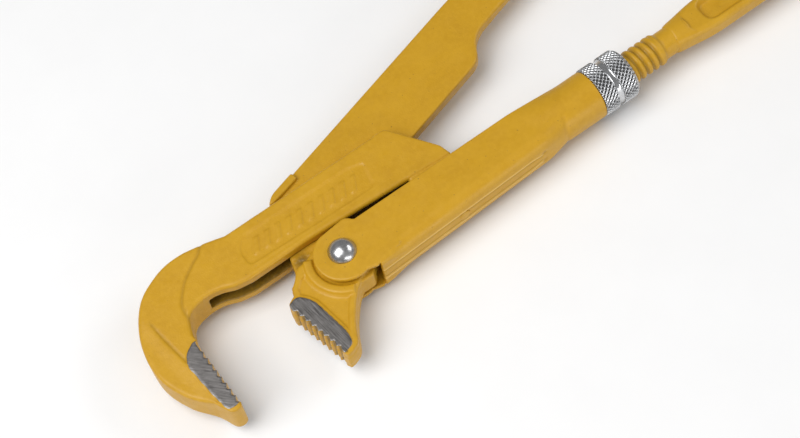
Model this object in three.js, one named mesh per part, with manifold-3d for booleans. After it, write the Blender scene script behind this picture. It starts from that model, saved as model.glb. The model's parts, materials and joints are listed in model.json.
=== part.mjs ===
// Adjustable pipe wrench with jaws set square to the handle.
//
// A hook jaw, a slotted shank and a threaded rod are one forging. A lever with the lower jaw passes
// through the slot and pivots on a rivet between the ears of a pressed sleeve. The sleeve slides
// along the rod, moved by a nut held captive in its tube end.
//
// Millimetres. X runs from the jaws to the handles along the rod's axis, Y points from the rod to
// the lever, Z is the thickness. Sizes below are measured from the rod's axis at the pivot; the whole
// wrench is lifted at the end so that the origin is the centre of its underside.

import * as THREE from 'three';
import { mergeVertices } from 'three/addons/utils/BufferGeometryUtils.js';
import Module from 'manifold-3d';

const wasm = await Module();
wasm.setup();

// ---- Clearances ----
const touchGap = 0.3; // between pieces that rest on each other
const runningGap = 0.4; // between pieces that turn or slide on each other
const cutMargin = 1; // how far a cutting body reaches past the face that it cuts
const bossGap = 1.2; // between the lever's boss and the floor of the slot
const shankGap = 0.8; // from the floor of the slot up to the underside of the shank
const earGap = 2.5; // between an ear's top edge and the shank
const rootGap = 0.6; // between the rod's root and each side of the channel
const rodGap = 0.85; // between the rod and each side of the channel
const floorGapFront = 6.95; // between the rod and the channel's floor, at its front edge
const floorGapRear = 3.15;
const lugStand = 6.8; // outer edge of the lever above the top of the shank, at the pivot
const travel = 43; // thread ahead of the sleeve's rear end, and behind it

// ---- Sleeve ----
const rodRadius = 8.75;
const sheet = 2.4;
const channelHalfWidth = rodRadius + rodGap + sheet;
const channelBend = 4.5;
const channelTop = 11.3;
const channelBottomFront = rodRadius + floorGapFront + sheet; // depth of the floor below the axis
const channelBottomRear = rodRadius + floorGapRear + sheet;
const channelFront = 11.2;
const neckStart = 112; // where the channel starts to close into the tube
const neckEnd = 134;
const tubeWall = sheet; // the same sheet, rolled
const tubeEnd = 154;
const earRadius = 15.3;
const earDrop = 1.2; // centre of the ear's round end below the pivot

// ---- Rod and its thread ----
const threadPitch = 4.2;
const threadDepth = 1.35;
const threadStart = tubeEnd - travel;
const threadEnd = tubeEnd + travel;
const threadGap = 0.36;
const rootFront = 50; // front face of the block where the shank runs into the rod
const rootHalfThickness = channelHalfWidth - sheet - rootGap;
const neckLength = 14; // plain neck between the thread and the handle
const rodNeckEnd = threadEnd + neckLength;
const handleEnd = 314;
const handleHeight = 21;
const handleHalfThickness = 6;
const handleWebHalfThickness = 2.8;
const handleRim = 4.2;

// ---- Hook jaw and shank ----
const bossRadius = 15.4; // round end of the lever, about the pivot
const slotFloor = bossRadius + bossGap; // floor of the slot over the rod's root
const shankHalfThickness = 9.7;
const shankBottom = slotFloor + shankGap; // underside of the shank above the rod's axis
const earShoulder = shankBottom - earGap; // height of an ear's straight top edge
const shankHeight = 28.8;
const shankTop = shankBottom + shankHeight;
const shankTaper = 4.9; // how much lower the underside is at its rear end
const shankRear = 75.4;
const shankBevel = 17.5; // run of the sloping rear end
const hookFace = -83.7; // plane of the tooth tips
const hookDepth = 25; // tooth tips to the back of the hook
const hookDrop = 37.6; // tip of the hook below the rod's axis
const hookCrown = 5.6; // rise of the hook's back above the shank
const throatRise = 5.5; // rise of the throat above the shank's underside
const padHeight = 0.3; // ground pad beside the teeth, above the forging
const padDepth = 8.2;
const panelDepth = 0.5; // sunk panel on each cheek

// ---- Slot for the lever ----
const webHalfThickness = 3.6;
const slotHalfWidth = webHalfThickness + runningGap;
const slotFront = -65.8;

// ---- Teeth ----
const toothPitch = 4.15;
const toothCount = 8;
const toothDepth = 1.6;
const toothLean = 0.32; // place of the gullet along one pitch

// ---- Lever and lower jaw, in the lever's own frame, X along its handle ----
const leverAngle = 16.3; // degrees from the rod at rest
const leverFace = -38.4; // tooth tips of the lower jaw, level with the pivot
const leverFaceLean = 4.7; // degrees between the lower jaw's teeth and a line across the lever
const leverJawTop = 3.4;
const leverJawDrop = 36.6;
const leverJawHalfThickness = 7.5;
const leverBack = shankTop + lugStand; // straight outer edge of the lever
const leverEnd = 304;
const gripHeight = 25.5;
const gripStart = 150;
const lugHalfThickness = 6;
const ribWidth = 4.3;
const ribHalfThickness = 8.9;

// ---- Pivot rivet ----
const rivetRadius = 5;
const rivetHeadRadius = 6.75;
const rivetHeadHeight = 4.7;

// ---- Adjusting nut and its retaining ring ----
const nutNeckWall = 1.59; // wall of the nut's neck round the thread
const nutNeckRadius = rodRadius + threadGap + nutNeckWall;
const tubeRadius = nutNeckRadius + touchGap + tubeWall;
const nutRim = 0.5; // how far the nut stands proud of the tube
const nutRadius = tubeRadius + nutRim;
const nutBandLength = 8.4;
const nutGrooveLength = 3.2;
const nutGrooveRadius = nutRadius - 1.4;
const nutChamfer = 1.5;
const nutNeckLength = 19;
const knurlCount = 36;
const knurlDepth = 0.6;
const ringThickness = 1.4;
const ringGrooveDepth = 0.9;
const ringPlace = 141; // middle of the retaining ring
const ringSplit = 3; // opening of the split ring

// ---- Leaf spring ----
const springThickness = 1.2;
const springHalfWidth = 5;
const springTip = 18.2;
const springLift = 5.5; // how far the spring's tip stands off the channel's floor
const springBend = 40; // where the spring leaves the channel's floor
const springRear = 70;
const springRivetPlace = 62;
const springRivetRadius = 2;
const springRivetHeadRadius = 3.4;
const springRivetHeadHeight = 0.9;

// ---- Facets ----
const curveSegments = 6;
const roundSegments = 40;
const threadSegments = 20;
const threadRows = 5; // rows of vertices in one pitch

const bigReach = 400; // longer than any piece, for cutting bodies
const degree = Math.PI / 180;

// ---- Solids ----

function solid(geometry) {
  const bare = geometry.clone();
  bare.deleteAttribute('normal');
  bare.deleteAttribute('uv');
  const merged = mergeVertices(bare, 1e-4);
  const mesh = new wasm.Mesh({
    numProp: 3,
    vertProperties: new Float32Array(merged.attributes.position.array),
    triVerts: new Uint32Array(merged.index.array),
  });
  return new wasm.Manifold(mesh);
}

function geometryOf(body) {
  const mesh = body.getMesh();
  const geometry = new THREE.BufferGeometry();
  geometry.setAttribute('position', new THREE.BufferAttribute(new Float32Array(mesh.vertProperties), 3));
  geometry.setIndex(new THREE.BufferAttribute(new Uint32Array(mesh.triVerts), 1));
  geometry.computeVertexNormals();
  return geometry;
}

function join(...bodies) {
  return bodies.reduce((whole, body) => whole.add(body));
}

function cut(body, ...tools) {
  return tools.reduce((rest, tool) => rest.subtract(tool), body);
}

// A flat plate: an outline in X and Y, from z = low to z = high.
function plate(shape, low, high) {
  const geometry = new THREE.ExtrudeGeometry(shape, { depth: high - low, bevelEnabled: false, curveSegments });
  geometry.translate(0, 0, low);
  return solid(geometry);
}

function block(x0, x1, y0, y1, z0, z1) {
  const geometry = new THREE.BoxGeometry(x1 - x0, y1 - y0, z1 - z0);
  geometry.translate((x0 + x1) / 2, (y0 + y1) / 2, (z0 + z1) / 2);
  return solid(geometry);
}

// A round disc about an axis along Z.
function disc(x, y, radius, low, high) {
  const geometry = new THREE.CylinderGeometry(radius, radius, high - low, roundSegments);
  geometry.rotateX(Math.PI / 2);
  geometry.translate(x, y, (low + high) / 2);
  return solid(geometry);
}

// A bar along X. Its outline is reach(angle, x), the distance from the axis; angle 0 is +Y, 90 is +Z.
function bar(startX, endX, around, along, reach) {
  const geometry = new THREE.CylinderGeometry(1, 1, 1, around, along);
  const position = geometry.attributes.position;
  for (let i = 0; i < position.count; i += 1) {
    const side = position.getX(i);
    const front = position.getZ(i);
    const x = startX + (position.getY(i) + 0.5) * (endX - startX);
    const angle = Math.atan2(side, front);
    const radius = Math.hypot(side, front) * reach(angle, x);
    position.setXYZ(i, x, radius * Math.cos(angle), radius * Math.sin(angle));
  }
  return solid(geometry);
}

// A turned solid about X. The profile lists [x, radius] and starts and ends on the axis.
function turned(profile, segments = roundSegments) {
  const points = profile.map(([x, radius]) => new THREE.Vector2(radius, x));
  const geometry = new THREE.LatheGeometry(points, segments);
  geometry.rotateZ(-Math.PI / 2);
  return solid(geometry);
}

function rod(startX, endX, radius, segments = roundSegments) {
  return turned([[startX, 0], [startX, radius], [endX, radius], [endX, 0]], segments);
}

// A closed outline from corners [x, y, radius]; a corner with a radius is rounded.
function outline(corners) {
  const shape = new THREE.Shape();
  corners.forEach(([x, y, radius = 0], i) => {
    const corner = new THREE.Vector2(x, y);
    const before = corners[(i + corners.length - 1) % corners.length];
    const after = corners[(i + 1) % corners.length];
    const toBefore = new THREE.Vector2(before[0] - x, before[1] - y);
    const toAfter = new THREE.Vector2(after[0] - x, after[1] - y);
    const half = Math.abs(Math.PI - Math.abs(toBefore.angleTo(toAfter))) / 2;
    const room = Math.min(toBefore.length(), toAfter.length()) / 2;
    const back = Math.min(radius * Math.tan(half), room);
    const start = corner.clone().addScaledVector(toBefore.normalize(), back);
    const end = corner.clone().addScaledVector(toAfter.normalize(), back);
    if (i === 0) shape.moveTo(start.x, start.y);
    else shape.lineTo(start.x, start.y);
    if (back > 0) shape.quadraticCurveTo(x, y, end.x, end.y);
  });
  shape.closePath();
  return shape;
}

// A row of saw teeth from one point of the tip line to the other, cut to the left of that direction.
function teeth(shape, start, end) {
  const along = end.clone().sub(start).divideScalar(toothCount);
  const inward = new THREE.Vector2(-along.y, along.x).normalize().multiplyScalar(toothDepth);
  for (let i = 0; i < toothCount; i += 1) {
    const tip = start.clone().addScaledVector(along, i);
    const gullet = tip.clone().addScaledVector(along, toothLean).add(inward);
    shape.lineTo(tip.x, tip.y);
    shape.lineTo(gullet.x, gullet.y);
  }
  shape.lineTo(end.x, end.y);
}

function points(list) {
  return list.map(([x, y]) => new THREE.Vector2(x, y));
}

// ---- Hook jaw, shank and rod ----

const hookBack = hookFace - hookDepth;
const toothRow = toothCount * toothPitch;
const hookTeethTop = -hookDrop + 2.6 + toothRow;

function hookOutline() {
  const shape = new THREE.Shape();
  shape.moveTo(shankRear, shankBottom - shankTaper);
  shape.lineTo(shankRear - 1.6, shankBottom + 2.4);
  shape.lineTo(shankRear - shankBevel, shankTop - 1.5);
  shape.quadraticCurveTo(shankRear - shankBevel - 1, shankTop, shankRear - shankBevel - 4, shankTop);
  shape.lineTo(hookBack + 68, shankTop);
  shape.splineThru(points([
    [hookBack + 56, shankTop + 0.62 * hookCrown],
    [hookBack + 42, shankTop + hookCrown],
    [hookBack + 29, shankTop + 0.6 * hookCrown],
    [hookBack + 14.5, shankTop - 5],
    [hookBack + 3.5, shankTop - 22],
    [hookBack, shankTop - 43],
    [hookBack + 5, -hookDrop + 23],
    [hookBack + 14.4, -hookDrop + 10],
  ]));
  shape.lineTo(hookFace - 7.4, -hookDrop + 2.6);
  shape.quadraticCurveTo(hookFace - 6, -hookDrop, hookFace - 3.4, -hookDrop);
  shape.quadraticCurveTo(hookFace - 0.6, -hookDrop, hookFace, -hookDrop + 2.6);
  teeth(shape, new THREE.Vector2(hookFace, -hookDrop + 2.6), new THREE.Vector2(hookFace, hookTeethTop));
  shape.lineTo(hookFace - 0.8, hookTeethTop + 1.4);
  shape.lineTo(hookFace - 0.6, hookTeethTop + 6.5);
  shape.lineTo(hookFace + 0.6, hookTeethTop + 7.6);
  shape.splineThru(points([
    [hookFace + 1.4, shankBottom - 6.4],
    [hookFace + 4.6, shankBottom + 0.24 * throatRise],
    [hookFace + 10, shankBottom + 0.8 * throatRise],
    [hookFace + 17.5, shankBottom + throatRise],
    [hookFace + 25, shankBottom + 0.8 * throatRise],
    [hookFace + 32, shankBottom + 0.28 * throatRise],
    [hookFace + 40, shankBottom],
  ]));
  shape.lineTo(-10, shankBottom);
  shape.closePath();
  return shape;
}

function hookPad() {
  const foot = -hookDrop + 2.4;
  return outline([
    [hookFace, foot + 1.2],
    [hookFace, hookTeethTop + 5],
    [hookFace - 1, hookTeethTop + 8.2, 2],
    [hookFace - padDepth + 1, hookTeethTop + 4, 3.5],
    [hookFace - padDepth - 1.6, hookTeethTop - 1.5, 4],
    [hookFace - padDepth, foot + 10, 4],
    [hookFace - padDepth + 1.6, foot, 2.5],
    [hookFace - 2.8, foot - 0.4, 1.5],
  ]);
}

function cheekPanel() {
  return outline([
    [-40, shankBottom + 6.2, 2.5],
    [34, shankBottom + 3.6, 3],
    [37.5, shankTop - 10, 2],
    [29, shankTop - 6.6, 4],
    [-34, shankTop - 6.6, 3],
    [-39, shankTop - 13, 3],
  ]);
}

function threadReach(radius, depth) {
  return (angle, x) => radius - (depth / 2) * (1 - Math.cos(2 * Math.PI * (x / threadPitch) - angle));
}

function threadedBar(startX, endX, radius, depth) {
  const rows = Math.ceil(((endX - startX) / threadPitch) * threadRows);
  const length = (rows * threadPitch) / threadRows;
  return bar(startX, startX + length, threadSegments, rows, threadReach(radius, depth));
}

// The handle behind the thread: an oval bar with a sunk panel along each side.
function rodHandle() {
  const half = handleHeight / 2;
  const start = rodNeckEnd + 14;
  const rim = half - handleRim;
  const grip = outline([
    [rodNeckEnd, -rodRadius + 1, 0],
    [rodNeckEnd, rodRadius - 1, 0],
    [start, half, 12],
    [handleEnd, half, 9],
    [handleEnd, -half, 9],
    [start, -half, 12],
  ]);
  const panel = outline([
    [start + 2, -rim, 5],
    [handleEnd - 11, -rim, 5],
    [handleEnd - 11, rim, 5],
    [start + 2, rim, 5],
  ]);
  return cut(
    plate(grip, -handleHalfThickness, handleHalfThickness),
    plate(panel, handleWebHalfThickness, handleHalfThickness + cutMargin),
    plate(panel, -handleHalfThickness - cutMargin, -handleWebHalfThickness),
  );
}

function hookJaw() {
  const forging = plate(hookOutline(), -shankHalfThickness, shankHalfThickness);
  const padFace = shankHalfThickness + padHeight;
  const pad = plate(hookPad(), -padFace, padFace);
  const padStock = plate(hookOutline(), -padFace, padFace);
  const root = block(rootFront, shankRear, -rodRadius, slotFloor, -rootHalfThickness, rootHalfThickness);
  const shoulder = turned([
    [shankRear - 2, 0],
    [shankRear - 2, rootHalfThickness],
    [shankRear + 6, rodRadius],
    [threadStart + 1, rodRadius],
    [threadStart + 1, 0],
  ]);
  const rootSlope = plate(outline([
    [shankRear - cutMargin, -rodRadius],
    [shankRear + 9, -rodRadius + 1],
    [shankRear + 9, rodRadius - 1],
    [shankRear - cutMargin, shankBottom - shankTaper - 0.4],
  ]), -rootHalfThickness + 2, rootHalfThickness - 2);
  const neckRadius = rodRadius - threadDepth;
  const neck = turned([
    [threadEnd - cutMargin, 0],
    [threadEnd - cutMargin, neckRadius],
    [rodNeckEnd - 6, neckRadius],
    [rodNeckEnd + 3, handleHalfThickness],
    [rodNeckEnd + 3, 0],
  ]);
  const slot = block(slotFront, rootFront, -bigReach, bigReach, -slotHalfWidth, slotHalfWidth);
  const slotRear = block(rootFront - cutMargin, bigReach, slotFloor, bigReach, -slotHalfWidth, slotHalfWidth);
  const panels = [1, -1].map((side) => plate(
    cheekPanel(),
    side > 0 ? shankHalfThickness - panelDepth : -shankHalfThickness - cutMargin,
    side > 0 ? shankHalfThickness + cutMargin : -shankHalfThickness + panelDepth,
  ));
  const head = cut(join(forging, pad.intersect(padStock)), ...panels, slot);
  const shank = cut(join(head, root), slotRear);
  const thread = threadedBar(threadStart, threadEnd, rodRadius, threadDepth);
  return join(shank, shoulder, rootSlope, thread, neck, rodHandle());
}

// ---- Lever with the lower jaw, drawn along its own handle ----

const faceLean = Math.tan(leverFaceLean * degree);
const jawFaceAt = (y) => leverFace + y * faceLean;
const leverTeethTop = leverJawTop - 3.2;
const leverTeethFoot = leverTeethTop - toothRow;
const gripBottom = leverBack - gripHeight;

function jawOutline(shape) {
  shape.lineTo(-21, 14);
  shape.quadraticCurveTo(-24, 11, -29, 9.6);
  shape.lineTo(-31.5, leverJawTop + 2.6);
  shape.lineTo(jawFaceAt(leverJawTop) + 2, leverJawTop + 1.6);
  shape.quadraticCurveTo(jawFaceAt(leverJawTop), leverJawTop, jawFaceAt(leverTeethTop), leverTeethTop);
  teeth(
    shape,
    new THREE.Vector2(jawFaceAt(leverTeethTop), leverTeethTop),
    new THREE.Vector2(jawFaceAt(leverTeethFoot), leverTeethFoot),
  );
  shape.lineTo(jawFaceAt(-leverJawDrop) + 0.4, -leverJawDrop + 0.8);
  shape.quadraticCurveTo(jawFaceAt(-leverJawDrop) + 1, -leverJawDrop, jawFaceAt(-leverJawDrop) + 4, -leverJawDrop);
  shape.lineTo(-34, -leverJawDrop + 0.4);
  shape.quadraticCurveTo(-31.5, -leverJawDrop + 1, -29.5, -leverJawDrop + 3.8);
  shape.quadraticCurveTo(-22, -24.5, -12, -18.6);
  shape.quadraticCurveTo(-8, -16.2, -4, -bossRadius);
}

// The web: a flat bar from the lower jaw through the slot to the end of the handle.
function webOutline() {
  const shape = new THREE.Shape();
  shape.moveTo(1, leverBack - 3.4);
  jawOutline(shape);
  shape.absarc(0, 0, bossRadius, -105 * degree, 90 * degree, false);
  shape.lineTo(gripStart - 24, bossRadius + 0.6);
  shape.bezierCurveTo(gripStart - 13, bossRadius + 1, gripStart - 15, gripBottom - 1, gripStart, gripBottom);
  shape.lineTo(leverEnd - 10, gripBottom);
  shape.quadraticCurveTo(leverEnd, gripBottom, leverEnd, gripBottom + 10);
  shape.lineTo(leverEnd, leverBack - 10);
  shape.quadraticCurveTo(leverEnd, leverBack, leverEnd - 10, leverBack);
  shape.lineTo(6, leverBack);
  shape.quadraticCurveTo(2.4, leverBack - 0.6, 1, leverBack - 3.4);
  return shape;
}

// The thick lower jaw: its top follows the rib round the ear.
function thickJawOutline() {
  const shape = new THREE.Shape();
  shape.moveTo(-14, 13.6);
  shape.lineTo(-17.5, 14.6);
  jawOutline(shape);
  shape.absarc(0, 0, bossRadius, -105 * degree, 90 * degree, false);
  shape.closePath();
  return shape;
}

function leverPad() {
  const face = (y) => jawFaceAt(y) - toothDepth;
  return outline([
    [face(leverJawTop), leverJawTop + 0.4, 1],
    [-31, leverJawTop + 1.2, 3],
    [-27.6, -3.5, 6],
    [-31.4, -leverJawDrop + 8, 4],
    [-34.6, -leverJawDrop + 2, 2.5],
    [face(-leverJawDrop), -leverJawDrop + 2],
  ]);
}

function lever() {
  const earPocket = earRadius + touchGap + runningGap;
  const earCentre = new THREE.Vector2(0, -earDrop).rotateAround(new THREE.Vector2(), -leverAngle * degree);
  const inside = channelHalfWidth - sheet - runningGap;
  const web = plate(webOutline(), -webHalfThickness, webHalfThickness);
  const jaw = plate(thickJawOutline(), -leverJawHalfThickness, leverJawHalfThickness);
  const padFace = leverJawHalfThickness + 2 * padHeight;
  const pad = plate(leverPad(), -padFace, padFace).intersect(plate(thickJawOutline(), -padFace, padFace));
  const ribRoom = plate(outline([
    [-16, 13.6, 2],
    [-40, 13],
    [-40, -22],
    [-6, -22],
    [-4.6, -14, 2],
    [0, 0],
  ]), -ribHalfThickness, ribHalfThickness);
  const rib = cut(
    disc(earCentre.x, earCentre.y, earPocket + ribWidth, -ribHalfThickness, ribHalfThickness),
    disc(earCentre.x, earCentre.y, earPocket, -bigReach, bigReach),
  ).intersect(ribRoom);
  const boss = disc(0, 0, bossRadius - 1.6, -inside, inside);
  const lug = plate(outline([
    [22, leverBack],
    [22, leverBack - 4.6, 1.5],
    [7, leverBack - 4.4, 3],
    [2.6, leverBack - 3.9, 1],
    [1.6, leverBack - 2.6, 1],
    [6, leverBack, 3],
  ]), -lugHalfThickness, lugHalfThickness);
  const hole = disc(0, 0, rivetRadius + touchGap, -bigReach, bigReach);
  return cut(join(web, jaw, pad, rib, boss, lug), hole);
}

// ---- Sleeve: a channel with two ears, closing into a tube ----

const channelFloorAt = (x) => {
  const share = (x - channelFront) / (neckStart - channelFront);
  return channelBottomFront + (channelBottomRear - channelBottomFront) * Math.min(Math.max(share, 0), 1);
};

// Distance from the axis to a rounded box, along a ray. The box stands above the channel's open top,
// which is cut later.
function boxReach(angle, halfWidth, floor, bend) {
  const up = Math.cos(angle);
  const side = Math.abs(Math.sin(angle));
  const toSide = side > 0 ? halfWidth / side : Infinity;
  const height = up > 0 ? channelTop + channelBend + cutMargin : floor;
  const toEnd = up !== 0 ? height / Math.abs(up) : Infinity;
  const straight = Math.min(toSide, toEnd);
  const centreSide = halfWidth - bend;
  const centreUp = height - bend;
  const inCorner = side * straight > centreSide && Math.abs(up) * straight > centreUp;
  if (!inCorner) return straight;
  const along = side * centreSide + Math.abs(up) * centreUp;
  const off = centreSide * centreSide + centreUp * centreUp - bend * bend;
  return along + Math.sqrt(Math.max(along * along - off, 0));
}

// Outline of the sleeve drawn in by inset: a rounded channel in front, a circle behind.
function sleeveReach(inset, tubeInset) {
  return (angle, x) => {
    const share = Math.min(Math.max((x - neckStart) / (neckEnd - neckStart), 0), 1);
    const blend = share * share * (3 - 2 * share);
    const bend = Math.max(channelBend - inset, 0.5);
    const box = boxReach(angle, channelHalfWidth - inset, channelFloorAt(x) - inset, bend);
    return box + (tubeRadius - tubeInset - box) * blend;
  };
}

// Stations are closer together in the neck, where the section changes.
function sleeveBody(startX, endX, reach) {
  const channel = bar(startX, neckStart, roundSegments, 2, reach);
  const neck = bar(neckStart, neckEnd, roundSegments, 8, reach);
  const tube = bar(neckEnd, endX, roundSegments, 1, reach);
  return join(channel, neck, tube);
}

function earOutline() {
  const shape = new THREE.Shape();
  shape.moveTo(channelFront + 14, channelTop);
  shape.lineTo(channelFront + 6, channelTop);
  shape.quadraticCurveTo(channelFront + 4, channelTop - 1, channelFront + 2.4, channelTop + 1.4);
  shape.quadraticCurveTo(channelFront + 0.6, earShoulder, channelFront - 1.6, earShoulder);
  shape.absarc(0, -earDrop, earRadius, 108 * degree, 275 * degree, false);
  shape.quadraticCurveTo(channelFront - 5, -earRadius - earDrop - 0.6, channelFront - 1, -channelBottomFront + 1);
  shape.lineTo(channelFront + 2, -channelBottomFront + channelBend);
  shape.lineTo(channelFront + 14, -channelBottomFront + channelBend);
  shape.closePath();
  return shape;
}

function sleeve() {
  const outer = sleeveBody(channelFront, tubeEnd, sleeveReach(0, 0));
  const inner = sleeveBody(channelFront - cutMargin, tubeEnd + cutMargin, sleeveReach(sheet, tubeWall));
  const mouth = new THREE.Shape(points([
    [-bigReach, -channelHalfWidth - 3],
    [neckStart, -channelHalfWidth - 3],
    [neckEnd - 4, -channelHalfWidth / 3],
    [neckEnd - 2, 0],
    [neckEnd - 4, channelHalfWidth / 3],
    [neckStart, channelHalfWidth + 3],
    [-bigReach, channelHalfWidth + 3],
  ]));
  const mouthGeometry = new THREE.ExtrudeGeometry(mouth, { depth: bigReach, bevelEnabled: false });
  mouthGeometry.rotateX(-Math.PI / 2);
  mouthGeometry.translate(0, channelTop, 0);
  const ears = [1, -1].map((side) => plate(
    earOutline(),
    side > 0 ? channelHalfWidth - sheet : -channelHalfWidth,
    side > 0 ? channelHalfWidth : sheet - channelHalfWidth,
  ));
  const ringRoom = rod(
    ringPlace - ringThickness / 2 - touchGap,
    ringPlace + ringThickness / 2 + touchGap,
    tubeRadius - tubeWall + ringGrooveDepth,
  );
  const rivetHole = disc(0, 0, rivetRadius + touchGap, -bigReach, bigReach);
  const springHole = floorRivetHole();
  const shell = cut(outer, inner, solid(mouthGeometry));
  return cut(join(shell, ...ears), ringRoom, rivetHole, springHole);
}

// ---- Pivot rivet: a shank with a domed head at each end ----

function pivotRivet() {
  const face = channelHalfWidth + touchGap;
  const dome = (rivetHeadRadius ** 2 + rivetHeadHeight ** 2) / (2 * rivetHeadHeight);
  const steps = 7;
  const head = [];
  for (let i = 0; i <= steps; i += 1) {
    const angle = Math.asin(rivetHeadRadius / dome) * (1 - i / steps);
    head.push([face + rivetHeadHeight - dome * (1 - Math.cos(angle)), dome * Math.sin(angle)]);
  }
  const half = [[face, rivetRadius], ...head];
  const mirrored = half.map(([place, radius]) => [-place, radius]).reverse();
  const geometry = new THREE.LatheGeometry(
    [...mirrored, ...half].map(([place, radius]) => new THREE.Vector2(radius, place)),
    roundSegments,
  );
  geometry.rotateX(Math.PI / 2);
  return solid(geometry);
}

// ---- Adjusting nut: a neck inside the tube and two knurled bands behind it ----

const nutFront = tubeEnd + touchGap;
const nutRear = nutFront + 2 * nutBandLength + nutGrooveLength + nutChamfer;

function knurledBand(startX, endX) {
  const reach = (angle) => nutRadius - (knurlDepth / 2) * (1 - Math.cos(knurlCount * angle));
  return bar(startX, endX, 2 * knurlCount, 1, reach);
}

function adjustingNut() {
  const firstEnd = nutFront + nutBandLength;
  const secondStart = firstEnd + nutGrooveLength;
  const secondEnd = secondStart + nutBandLength;
  const body = join(
    knurledBand(nutFront, firstEnd),
    knurledBand(secondStart, secondEnd),
    turned([
      [tubeEnd - nutNeckLength, 0],
      [tubeEnd - nutNeckLength, nutNeckRadius],
      [nutFront + 1, nutNeckRadius],
      [nutFront + 1, nutGrooveRadius],
      [secondEnd - 0.2, nutGrooveRadius],
      [secondEnd - 0.2, nutRadius - knurlDepth],
      [nutRear, nutGrooveRadius],
      [nutRear, 0],
    ]),
  );
  const ringRoom = cut(
    rod(ringPlace - ringThickness / 2 - touchGap, ringPlace + ringThickness / 2 + touchGap, tubeRadius),
    rod(ringPlace - ringThickness, ringPlace + ringThickness, nutNeckRadius - ringGrooveDepth),
  );
  const bore = rod(tubeEnd - nutNeckLength - cutMargin, nutFront + 2, rodRadius + threadGap);
  // The thread is cut on the rod's own pitch and place, so that the two mesh.
  const pitchesAhead = Math.floor((nutFront - threadStart) / threadPitch);
  const cutStart = threadStart + pitchesAhead * threadPitch;
  const thread = threadedBar(cutStart, nutRear + 2 * cutMargin, rodRadius + threadGap, threadDepth);
  return cut(body, ringRoom, bore, thread);
}

// ---- Retaining ring: a split ring between the grooves of the nut and the tube ----

function nutRetainingRing() {
  const outside = tubeRadius - tubeWall + ringGrooveDepth - touchGap;
  const inside = nutNeckRadius - ringGrooveDepth + touchGap;
  const start = ringPlace - ringThickness / 2;
  const end = ringPlace + ringThickness / 2;
  return cut(
    rod(start, end, outside),
    rod(start - cutMargin, end + cutMargin, inside),
    block(start - cutMargin, end + cutMargin, 0, bigReach, -ringSplit / 2, ringSplit / 2),
  );
}

// ---- Leaf spring and its rivet, on the floor of the channel ----

const floorInsideAt = (x) => sheet - channelFloorAt(x);

function leafSpring() {
  const lower = (x) => floorInsideAt(x) + touchGap;
  const shape = new THREE.Shape();
  shape.moveTo(springRear, lower(springRear));
  shape.lineTo(springBend, lower(springBend));
  shape.quadraticCurveTo(
    (springBend + springTip) / 2,
    lower(springBend),
    springTip,
    lower(springTip) + springLift,
  );
  shape.lineTo(springTip + 0.4, lower(springTip) + springLift + springThickness);
  shape.quadraticCurveTo(
    (springBend + springTip) / 2 + 0.6,
    lower(springBend) + springThickness,
    springBend,
    lower(springBend) + springThickness,
  );
  shape.lineTo(springRear, lower(springRear) + springThickness);
  shape.closePath();
  return cut(plate(shape, -springHalfWidth, springHalfWidth), floorRivetHole());
}

// A round bar standing on the channel's floor, from one depth below the axis to another.
function floorBar(radius, low, high) {
  const geometry = new THREE.CylinderGeometry(radius, radius, high - low, 20);
  geometry.translate(springRivetPlace, (low + high) / 2, 0);
  return solid(geometry);
}

function floorRivetHole() {
  return floorBar(springRivetRadius + touchGap, -2 * channelBottomFront, 0);
}

function leafSpringRivet() {
  const top = floorInsideAt(springRivetPlace) + 2 * touchGap + springThickness + 0.1;
  const bottom = -channelFloorAt(springRivetPlace) - touchGap - 0.1;
  return join(
    floorBar(springRivetRadius, bottom - 0.1, top + 0.1),
    floorBar(springRivetHeadRadius, top, top + springRivetHeadHeight),
    floorBar(springRivetHeadRadius, bottom - springRivetHeadHeight, bottom),
  );
}

// ---- Assembly ----

const paint = { color: 0xcf9f2c, roughness: 0.45, metalness: 0 };
const zinc = { color: 0xb9bcc0, roughness: 0.3, metalness: 1 };
const springSteel = { color: 0x55585c, roughness: 0.4, metalness: 1 };

function piece(name, body, finish) {
  const mesh = new THREE.Mesh(geometryOf(body), new THREE.MeshStandardMaterial(finish));
  mesh.name = name;
  return mesh;
}

const wrench = new THREE.Group();
wrench.add(piece('hook_jaw', hookJaw(), paint));

const sleeveGroup = new THREE.Group();
sleeveGroup.add(piece('sleeve', sleeve(), paint));
sleeveGroup.add(piece('pivot_rivet', pivotRivet(), zinc));
sleeveGroup.add(piece('adjusting_nut', adjustingNut(), zinc));
sleeveGroup.add(piece('nut_retaining_ring', nutRetainingRing(), springSteel));
sleeveGroup.add(piece('leaf_spring', leafSpring(), springSteel));
sleeveGroup.add(piece('leaf_spring_rivet', leafSpringRivet(), zinc));
wrench.add(sleeveGroup);

const leverPiece = piece('lever', lever(), paint);
leverPiece.rotation.z = leverAngle * degree;
sleeveGroup.add(leverPiece);

wrench.updateMatrixWorld(true);
const bounds = new THREE.Box3().setFromObject(wrench, true);
const centre = bounds.getCenter(new THREE.Vector3());
wrench.position.set(-centre.x, -centre.y, -bounds.min.z);

const group = new THREE.Group();
group.add(wrench);

export default group;
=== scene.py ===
# Looks of an adjustable pipe wrench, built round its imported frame.
# Lengths are in millimetres from the lever's pivot: X along the rod, Y towards the lever, Z the thickness.

import json
import math

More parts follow.
